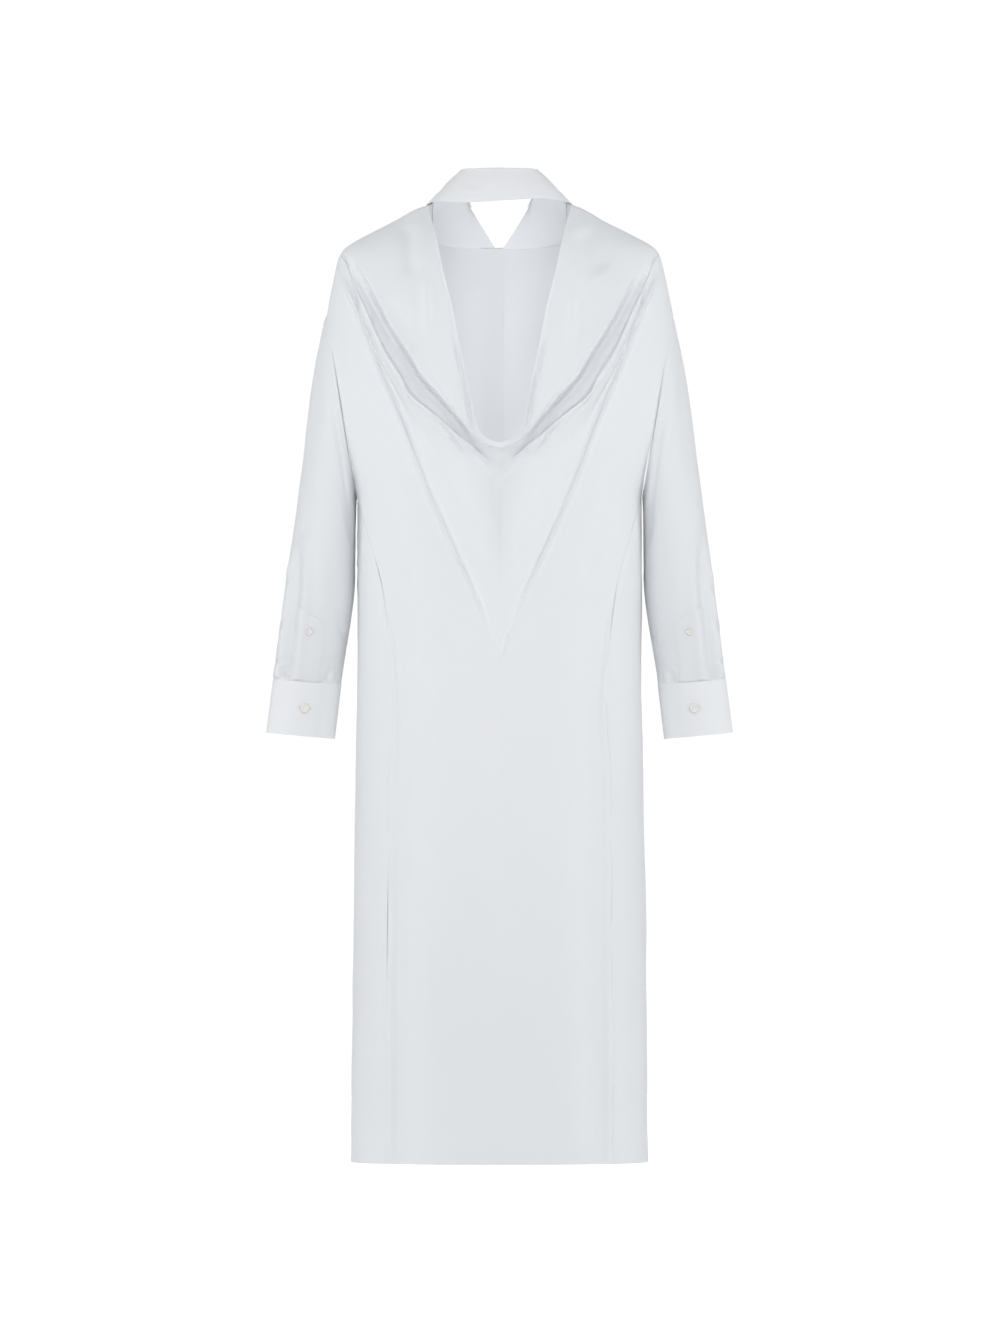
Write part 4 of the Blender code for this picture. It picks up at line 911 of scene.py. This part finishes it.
def make_front(label, side, edge, lap, seed):
    """One front, from its edge beyond the centre line round to the side seam."""
    lap_columns = np.linspace(-edge, LAP_START, LAP_COLUMNS, endpoint=False)
    grid = front_grid(lap_columns, lap)
    across = arc_across(grid, int(np.argmin(np.abs(lap_columns))))
    place = np.stack((across, grid[..., 2]), axis=-1)
    normals = grid_normals(grid, FRONT_OUTWARD)
    calm = ease((across - LAP_START) / PLACKET_CALM)
    move = swell(place, seed, BODY_SWELL) * calm + seam_dip(across[:, -1:] - across)
    move += creased(place, FRONT_CREASES, side)
    grid += normals * move[..., None]
    turned_up = (place[..., 1] < HEM_Z + HEM_HEIGHT) & (across > LAP_START)
    add_cloth("front_" + label, grid, place, np.where(turned_up, DOUBLE, PLY), FRONT_OUTWARD,
              dict(bottom=HEM_STITCH), side, normals)


def make_front_placket():
    """The band of doubled cloth down the edge of the right front."""
    levels = centre_level(front_levels())[0]
    x = np.linspace(-RIGHT_FRONT_EDGE, LEFT_FRONT_EDGE, PLACKET_COLUMNS)
    x, z = np.meshgrid(x, levels)
    below = np.stack((x, front_y(x, z) + LAP_RISE, z), axis=-1)
    grid = below + grid_normals(below, FRONT_OUTWARD) * (PLACKET_RISE + DOUBLE)
    add_cloth("front_placket", grid, np.stack((x, z), axis=-1), DOUBLE, FRONT_OUTWARD,
              dict(first=EDGE_STITCH, last=EDGE_STITCH))


# ---------------------------------------------------------------- sleeves and cuffs

def sleeve_points(table, shares, degrees):
    """Points of the right sleeve: 0 degrees on its outer side, 90 on its back."""
    sections = Curve(np.linspace(0.0, 1.0, len(table)), table)(shares)
    ox, oz, ix, iz, back, front = sections.T[..., None]
    a = np.radians(degrees)[None, :]
    return np.stack((
        (ox + ix) / 2 + (ox - ix) / 2 * np.cos(a),
        -np.where(np.sin(a) > 0.0, back, front) * np.sin(a),
        (oz + iz) / 2 + (oz - iz) / 2 * np.cos(a),
    ), axis=-1)


SLEEVE_SHARES = crowded(SLEEVE_ROWS)
SLEEVE_DEGREES = np.linspace(-SLEEVE_TURN, SLEEVE_TURN, SLEEVE_SIDES + 1)


def sleeve_grid(side):
    """A sleeve's points, with its seam along the underarm, its place in the cloth and its normals."""
    grid = sleeve_points(SLEEVE, SLEEVE_SHARES, SLEEVE_DEGREES)
    round_it, down = SLEEVE_DEGREES / 360.0 * SLEEVE_GIRTH, SLEEVE_SHARES * SLEEVE_LENGTH
    place = np.stack(np.meshgrid(round_it, -down), axis=-1)
    normals = grid_normals(grid, SLEEVE_OUTWARD)
    normals[:, 0] = normals[:, -1] = unit(normals[:, 0] + normals[:, -1])
    from_armhole = down[:, None]
    from_seam = SLEEVE_GIRTH / 2.0 - np.abs(place[..., 0])
    move = swell(place, SLEEVE_SEED + side, SLEEVE_SWELL) * ease(from_seam / SLEEVE_SEAM_CALM)
    move += seam_dip(from_armhole) + seam_dip(from_seam) + creased(place, SLEEVE_CREASES, side)
    move = move * ease((SLEEVE_LENGTH - from_armhole) / CUFF_CALM)
    return grid + normals * move[..., None], place, normals


def make_sleeve(label, side):
    grid, place, normals = sleeve_grid(side)
    add_cloth("sleeve_" + label, grid, place, PLY, SLEEVE_OUTWARD, dict(top=SLEEVE_SEAM_STITCH), side)
    first = int(round(PLACKET_START * (SLEEVE_ROWS - 1)))
    low, high = [int(np.argmin(np.abs(SLEEVE_DEGREES - a))) for a in PLACKET_ANGLES]
    rows, columns = slice(first, -1), slice(low, high + 1)
    strip = grid[rows, columns] + normals[rows, columns] * (PLACKET_RISE + DOUBLE)
    add_cloth("sleeve_placket_" + label, strip, place[rows, columns], DOUBLE, SLEEVE_OUTWARD,
              dict.fromkeys(("first", "last", "top"), NARROW_STITCH), side)


def cuff_lift(turned):
    """How far the cuff's band stands out, so that its outer ply clears the inner one."""
    return (BAND + STRIP_RISE) * (1.0 - ease((turned - CUFF_LAP) / CUFF_LAP_EASE))


def cuff_grid():
    turned = np.linspace(0.0, CUFF_TURN, CUFF_STEPS)
    grid = sleeve_points(CUFF, np.linspace(0.0, 1.0, CUFF_ROWS), CUFF_EDGE_ANGLE - turned)
    normals = grid_normals(grid, -SLEEVE_OUTWARD)
    return grid + normals * (CUFF_PROUD + cuff_lift(turned))[None, :, None], normals


def make_cuff(label, side):
    grid = cuff_grid()[0]
    place = np.stack((arc_across(grid, 0), grid[..., 2]), axis=-1)
    add_cloth("cuff_" + label, grid, place, BAND, -SLEEVE_OUTWARD, dict.fromkeys(EDGES, CUFF_STITCH), side)


# ---------------------------------------------------------------- collar

def collar_line(name, where, clear=0.0):
    """Half of one of the collar's lines: points on a smooth curve through its stations."""
    stations = [station for station in COLLAR if getattr(station, name)]
    points = []
    for x, y, z in [getattr(station, name) for station in stations]:
        points.append((x, float(front_y(x, z)) + clear if y is None else y, z))
    return Curve([station.at for station in stations], points)(where)


def both_sides(half):
    """A line from the right end of the collar to the left one, its middle point taken once."""
    return np.concatenate((half, mirrored(half[-2::-1])))


def make_collar():
    shares = crowded(FRONT_COLUMNS)
    behind = np.linspace(1.0, 2.0, COLLAR_BACK_STEPS + 1)[1:]
    where = np.concatenate(([0.0], COLLAR_LAP_AT + (1.0 - COLLAR_LAP_AT) * shares, behind))
    fold = both_sides(collar_line("fold", where)) - (0.0, 0.0, FOLD_DROP)
    edge = both_sides(collar_line("edge", where, COLLAR_CLEAR))
    near = ease(2.0 - 2.0 * np.abs(edge[:, 0]) / COLLAR_TILT_REACH)
    edge[:, 2] += COLLAR_TILT * edge[:, 0] * (edge[:, 1] < 0.0) * near
    bridge = collar_line("seam", behind)
    right, left = [np.concatenate((front_grid(np.array([LEFT_FRONT_EDGE]), lap)[0], bridge))
                   for lap in (LAP_RISE, 0.0)]
    seam = np.concatenate((right, both_sides(left)[len(left):]))
    seam = seam + unit(fold - seam) * SEAM_GAP
    rows = np.linspace(0.0, 1.0, COLLAR_ROWS)[:, None, None]

    stand = (1 - rows) * fold + rows * seam
    out = grid_normals(stand, COLLAR_OUTWARD)
    place = np.stack((arc_across(stand, stand.shape[1] // 2), stand[..., 2]), axis=-1)
    add_cloth("collar_stand", stand, place, BAND, COLLAR_OUTWARD, dict(bottom=NARROW_STITCH))

    turn = np.linspace(math.pi, 0.0, ROLL_ROWS)[:, None, None]
    radius = BAND / 2.0 + PLACKET_RISE
    middle = fold - out[0] * BAND / 2.0
    roll = middle + radius * (np.cos(turn) * out[0] + np.sin(turn) * np.array([0.0, 0.0, 1.0]))
    down = np.linspace(0.0, 1.0, COLLAR_ROWS)[1:, None, None]
    fall = (1 - down) * roll[-1] + down * edge
    belly = grid_normals(fall, COLLAR_OUTWARD)
    fall = fall + belly * FALL_BELLY * np.sin(math.pi * down)
    fall = np.concatenate((roll, fall))
    out = grid_normals(fall, COLLAR_OUTWARD)
    from_fold = -running(np.linalg.norm(np.diff(fall, axis=0), axis=2).mean(axis=1))
    from_fold = np.broadcast_to(from_fold[:, None], fall.shape[:2])
    place = np.stack((arc_across(fall, fall.shape[1] // 2), from_fold), axis=-1)
    move = swell(place, COLLAR_SEED, COLLAR_SWELL) * ease(-from_fold / FOLD_CALM)
    move += creased_across(place, COLLAR_CREASES, -1)
    fall = fall + out * (BAND + move)[..., None]
    add_cloth("collar_fall", fall, place, BAND, COLLAR_OUTWARD,
              dict.fromkeys(("first", "last", "bottom"), COLLAR_STITCH))


# ---------------------------------------------------------------- buttons

def ring_of(bm, centre, radius, height, steps):
    turn = np.arange(steps) * 2.0 * math.pi / steps
    return [
        bm.verts.new((centre[0] + radius * math.cos(a), centre[1] + radius * math.sin(a), height))
        for a in turn
    ]


def wall_between(bm, low, high):
    for i, vertex in enumerate(low):
        after = (i + 1) % len(low)
        bm.faces.new((vertex, low[after], high[after], high[i]))


def button_holes(radius):
    """The centres of the four holes."""
    reach = HOLE_SPREAD * radius
    return [(reach * x, reach * y) for x, y in ((1, 1), (-1, 1), (-1, -1), (1, -1))]


def button_mesh(name, size):
    """A four-hole shirt button that lies on its origin: a turned rim round a dished, pierced middle."""
    radius, top = size / 2.0, BUTTON_PROFILE[-1][1] * BUTTON_THICKNESS
    bm = bmesh.new()
    rings = [
        ring_of(bm, (0.0, 0.0), share * radius, height * BUTTON_THICKNESS, BUTTON_STEPS)
        for share, height in BUTTON_PROFILE
    ]
    bm.faces.new(rings[0])
    for low, high in zip(rings, rings[1:]):
        wall_between(bm, low, high)
    loops = [rings[-1]]
    for centre in button_holes(radius):
        mouth, floor = [
            ring_of(bm, centre, HOLE_RADIUS * radius, height, HOLE_STEPS)
            for height in (top, HOLE_FLOOR * BUTTON_THICKNESS)
        ]
        wall_between(bm, mouth, floor)
        bm.faces.new(floor)
        loops.append(mouth)
    edges = [bm.edges.get((loop[i - 1], loop[i])) for loop in loops for i in range(len(loop))]
    bmesh.ops.triangle_fill(bm, use_beauty=True, use_dissolve=False, edges=edges)
    bmesh.ops.recalc_face_normals(bm, faces=bm.faces)
    mesh = bpy.data.meshes.new(name)
    bm.to_mesh(mesh)
    bm.free()
    mesh.shade_smooth()
    mesh.set_sharp_from_angle(angle=BUTTON_SHARP)
    mesh.materials.append(BUTTON)
    return mesh


def add_button(label, seat, normal, along_slit, size):
    """A button on the cloth, with the threads that hold it and the buttonhole below it."""
    normal = unit(normal)
    along_slit = unit(along_slit - normal * (along_slit @ normal))
    across = np.cross(normal, along_slit)
    turned = Matrix(np.column_stack((across, along_slit, normal)).tolist()).to_4x4()
    piece = add_object("shirt_" + label, button_mesh(label, size))
    piece.matrix_world = Matrix.Translation(Vector(seat + normal * BUTTON_RISE)) @ turned
    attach(piece, "root")
    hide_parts(label)
    face = seat + normal * (BUTTON_RISE + BUTTON_PROFILE[-1][1] * BUTTON_THICKNESS)
    holes = [face + x * across + y * along_slit for x, y in button_holes(size / 2.0)]
    starts, ends = [], []
    for first, last in ((holes[0], holes[3]), (holes[1], holes[2])):
        for shift in BUTTON_THREADS:
            starts.append(first + shift * across)
            ends.append(last + shift * across)
    thread_mesh("threads_" + label, np.array(starts), np.array(ends), np.tile(normal, (len(starts), 1)))
    sew_buttonhole(label, seat, along_slit, normal, size)


def make_buttons():
    middle = (LEFT_FRONT_EDGE - RIGHT_FRONT_EDGE) / 2.0
    rise = LAP_RISE + PLACKET_RISE + DOUBLE
    for i in range(FRONT_BUTTONS):
        z = FRONT_BUTTON_TOP - i * FRONT_BUTTON_PITCH
        above, seat, below = [np.array((middle, float(front_y(middle, level)) + rise, level))
                              for level in (z + SLOPE_STEP, z, z - SLOPE_STEP)]
        down = below - above
        add_button("front_button_%d" % (i + 1), seat, np.array((0.0, -down[2], down[1])), down,
                   FRONT_BUTTON_SIZE)
    for label, side in (("right", 1), ("left", -1)):
        flip = np.array((side, 1.0, 1.0))
        grid, _, normals = sleeve_grid(side)
        row = (PLACKET_START + (1.0 - PLACKET_START) * PLACKET_BUTTON_AT) * (SLEEVE_ROWS - 1)
        row = int(np.argmin(np.abs(SLEEVE_SHARES * (SLEEVE_ROWS - 1) - row)))
        column = int(round((PLACKET_BUTTON_ANGLE + 180.0) / 360.0 * SLEEVE_SIDES))
        seat = grid[row, column] + normals[row, column] * (PLACKET_RISE + DOUBLE)
        add_button("placket_button_" + label, seat * flip, normals[row, column] * flip,
                   (grid[row + 1, column] - grid[row - 1, column]) * flip, PLACKET_BUTTON_SIZE)
        grid, normals = cuff_grid()
        row = int(round(CUFF_BUTTON_AT * (CUFF_ROWS - 1)))
        column = int(round((CUFF_EDGE_ANGLE - CUFF_BUTTON_ANGLE) / CUFF_TURN * (CUFF_STEPS - 1)))
        add_button("cuff_button_" + label, grid[row, column] * flip, normals[row, column] * flip,
                   (grid[row, column + 1] - grid[row, column - 1]) * flip, CUFF_BUTTON_SIZE)


# ---------------------------------------------------------------- materials

def feed(tree, node, **inputs):
    """Give a node's inputs, named with _ for spaces, a value or another node's output."""
    for name, value in inputs.items():
        socket = node.inputs[name.replace("_", " ")]
        if isinstance(value, bpy.types.NodeSocket):
            tree.links.new(value, socket)
        else:
            socket.default_value = value
    return node


def node_of(tree, kind, **inputs):
    return feed(tree, tree.nodes.new("ShaderNode" + kind), **inputs)


def new_tree(thing):
    """The node tree of a new material or world."""
    thing.use_nodes = True
    return thing.node_tree


def blend_of(tree, share, first, second):
    """The colour some share of the way from the first colour to the second."""
    blend = tree.nodes.new("ShaderNodeMix")
    blend.data_type = "RGBA"
    return feed(tree, blend, Factor=share, A=first, B=second).outputs["Result"]


def weave_bands(tree, place, direction):
    """Even ridges, one for each thread of the weave, across one direction of the cloth."""
    bands = node_of(tree, "TexWave", Vector=place, Scale=WAVE_UNIT / WEAVE_PERIOD)
    bands.bands_direction = direction
    return bands.outputs["Fac"]


def thread_noise(tree, place, scale, detail):
    """Soft unevenness, as fine as the scale says in each direction of the cloth."""
    place = node_of(tree, "Mapping", Vector=place, Scale=scale).outputs["Vector"]
    return node_of(tree, "TexNoise", Vector=place, Scale=1.0, Detail=detail).outputs["Fac"]


def weighted_sum(tree, parts):
    """The sum of some values, each times its weight."""
    total = None
    for value, weight in parts:
        step = node_of(tree, "Math")
        step.operation = "MULTIPLY_ADD"
        step.inputs[1].default_value = weight
        step.inputs[2].default_value = 0.0
        tree.links.new(value, step.inputs[0])
        if total:
            tree.links.new(total, step.inputs[2])
        total = step.outputs["Value"]
    return total


def make_poplin(name, through):
    """Crisp white cotton: a fine plain weave with uneven threads that lets some light through."""
    material = bpy.data.materials.new(name)
    tree = new_tree(material)
    place = node_of(tree, "TexCoord").outputs["UV"]
    warp = thread_noise(tree, place, (1.0 / SLUB_WIDTH, 1.0 / SLUB_LENGTH, 1.0), 2.0)
    weft = thread_noise(tree, place, (1.0 / SLUB_LENGTH, 1.0 / SLUB_WIDTH, 1.0), 2.0)
    crumple = thread_noise(tree, place, (1.0 / CRUMPLE_SIZE, 1.0 / CRUMPLE_SIZE, 1.0), 3.0)
    height = weighted_sum(tree, (
        (weave_bands(tree, place, "X"), WEAVE_HEIGHT), (weave_bands(tree, place, "Y"), WEAVE_HEIGHT),
        (warp, SLUB_HEIGHT), (weft, SLUB_HEIGHT), (crumple, CRUMPLE_HEIGHT),
    ))
    bump = node_of(tree, "Bump", Strength=1.0, Distance=1.0, Height=height).outputs["Normal"]
    shade = blend_of(tree, weighted_sum(tree, ((warp, 0.5), (weft, 0.5))), POPLIN_COLOUR, POPLIN_SHADE)
    shader = feed(tree, tree.nodes["Principled BSDF"], Base_Color=shade, Normal=bump, Roughness=0.82,
                  Specular_IOR_Level=0.25, Sheen_Weight=0.30, Sheen_Roughness=0.5)
    glow = node_of(tree, "BsdfTranslucent", Color=shade, Normal=bump)
    mix = node_of(tree, "MixShader", Fac=through)
    tree.links.new(shader.outputs["BSDF"], mix.inputs[1])
    tree.links.new(glow.outputs["BSDF"], mix.inputs[2])
    feed(tree, tree.nodes["Material Output"], Surface=mix.outputs["Shader"])
    return material


def make_thread():
    """White sewing thread: a slightly glossy twist."""
    material = bpy.data.materials.new("thread")
    tree = new_tree(material)
    place = node_of(tree, "TexCoord").outputs["Object"]
    twist = node_of(tree, "TexNoise", Vector=place, Scale=1.0 / THREAD_TWIST, Detail=1.0)
    bump = node_of(tree, "Bump", Strength=0.5, Distance=THREAD_TWIST / 4.0, Height=twist.outputs["Fac"])
    feed(tree, tree.nodes["Principled BSDF"], Base_Color=THREAD_COLOUR, Roughness=0.6, Sheen_Weight=0.2,
         Normal=bump.outputs["Normal"])
    return material


def make_button_material():
    """Smooth off-white resin with a faint pearly cloud in it."""
    material = bpy.data.materials.new("shirt_button")
    tree = new_tree(material)
    place = node_of(tree, "TexCoord").outputs["Object"]
    cloud = node_of(tree, "TexNoise", Vector=place, Scale=1.0 / CLOUD_SIZE, Detail=3.0, Distortion=1.2)
    feed(tree, tree.nodes["Principled BSDF"], Roughness=0.24, Coat_Weight=0.25, Subsurface_Weight=0.12,
         Subsurface_Scale=0.001,
         Base_Color=blend_of(tree, cloud.outputs["Fac"], BUTTON_COLOUR, BUTTON_CLOUD))
    return material


# ---------------------------------------------------------------- light, floor and camera

def add_area(name, place, size, power, aim):
    light = bpy.data.lights.new(name, "AREA")
    light.shape = "RECTANGLE"
    light.size, light.size_y = size
    light.energy = power
    lamp = add_object(name, light)
    lamp.location = place
    lamp.rotation_mode = "QUATERNION"
    lamp.rotation_quaternion = (Vector(aim) - Vector(place)).to_track_quat("-Z", "Y")


def make_stage():
    """A pale floor that throws no coloured light, an even white surround, and the lamps."""
    mesh = bpy.data.meshes.new("floor")
    corners = [(x * FLOOR_REACH, y * FLOOR_REACH, FLOOR_Z) for x, y in ((-1, -1), (1, -1), (1, 1), (-1, 1))]
    mesh.from_pydata(corners, [], [(0, 1, 2, 3)])
    material = bpy.data.materials.new("pale_floor")
    tree = new_tree(material)
    feed(tree, tree.nodes["Principled BSDF"], Base_Color=FLOOR_COLOUR, Roughness=0.9,
         Emission_Color=WHITE, Emission_Strength=FLOOR_GLOW)
    mesh.materials.append(material)
    floor = add_object("floor", mesh)
    floor.visible_diffuse = False

    world = bpy.data.worlds.new("studio")
    tree = new_tree(world)
    direction = node_of(tree, "TexCoord").outputs["Generated"]
    height = node_of(tree, "SeparateXYZ", Vector=direction).outputs["Z"]
    ambient = node_of(tree, "MapRange", Value=height, From_Min=-0.35, From_Max=0.10,
                      To_Min=AMBIENT * GROUND_SHARE, To_Max=AMBIENT).outputs["Result"]
    seen = node_of(tree, "LightPath").outputs["Is Camera Ray"]
    strength = node_of(tree, "Mix", Factor=seen, A=ambient, B=BACKDROP).outputs["Result"]
    feed(tree, tree.nodes["Background"], Color=WHITE, Strength=strength)
    bpy.context.scene.world = world
    bpy.context.scene.view_settings.view_transform = "Standard"
    for lamp in LAMPS:
        add_area(*lamp)


def make_camera():
    """The photograph's own view: level, at half the dress's height, from far away."""
    camera = bpy.data.cameras.new("camera")
    camera.sensor_width = SENSOR
    camera.lens = SENSOR * CAMERA_DISTANCE / (max(FRAME_SIZE) * PIXEL)
    camera.clip_end = 100.0
    eye = add_object("camera", camera)
    x = (FRAME_SIZE[0] / 2.0 - ORIGIN_PIXEL[0]) * PIXEL
    z = (ORIGIN_PIXEL[1] - FRAME_SIZE[1] / 2.0) * PIXEL
    eye.location = (x, -CAMERA_DISTANCE, z)
    eye.rotation_euler = (math.pi / 2.0, 0.0, 0.0)
    bpy.context.scene.camera = eye


# ---------------------------------------------------------------- the dress

POPLIN = make_poplin("poplin", 0.22)
DOUBLED = make_poplin("poplin_doubled", 0.15)
THREAD = make_thread()
BUTTON = make_button_material()


def main():
    make_back()
    make_front("right", 1, RIGHT_FRONT_EDGE, LAP_RISE, RIGHT_FRONT_SEED)
    make_front("left", -1, LEFT_FRONT_EDGE, 0.0, LEFT_FRONT_SEED)
    make_front_placket()
    for label, side in (("right", 1), ("left", -1)):
        make_sleeve(label, side)
        make_cuff(label, side)
    make_collar()
    make_buttons()
    make_stage()
    make_camera()


main()
bpy.context.view_layer.update()
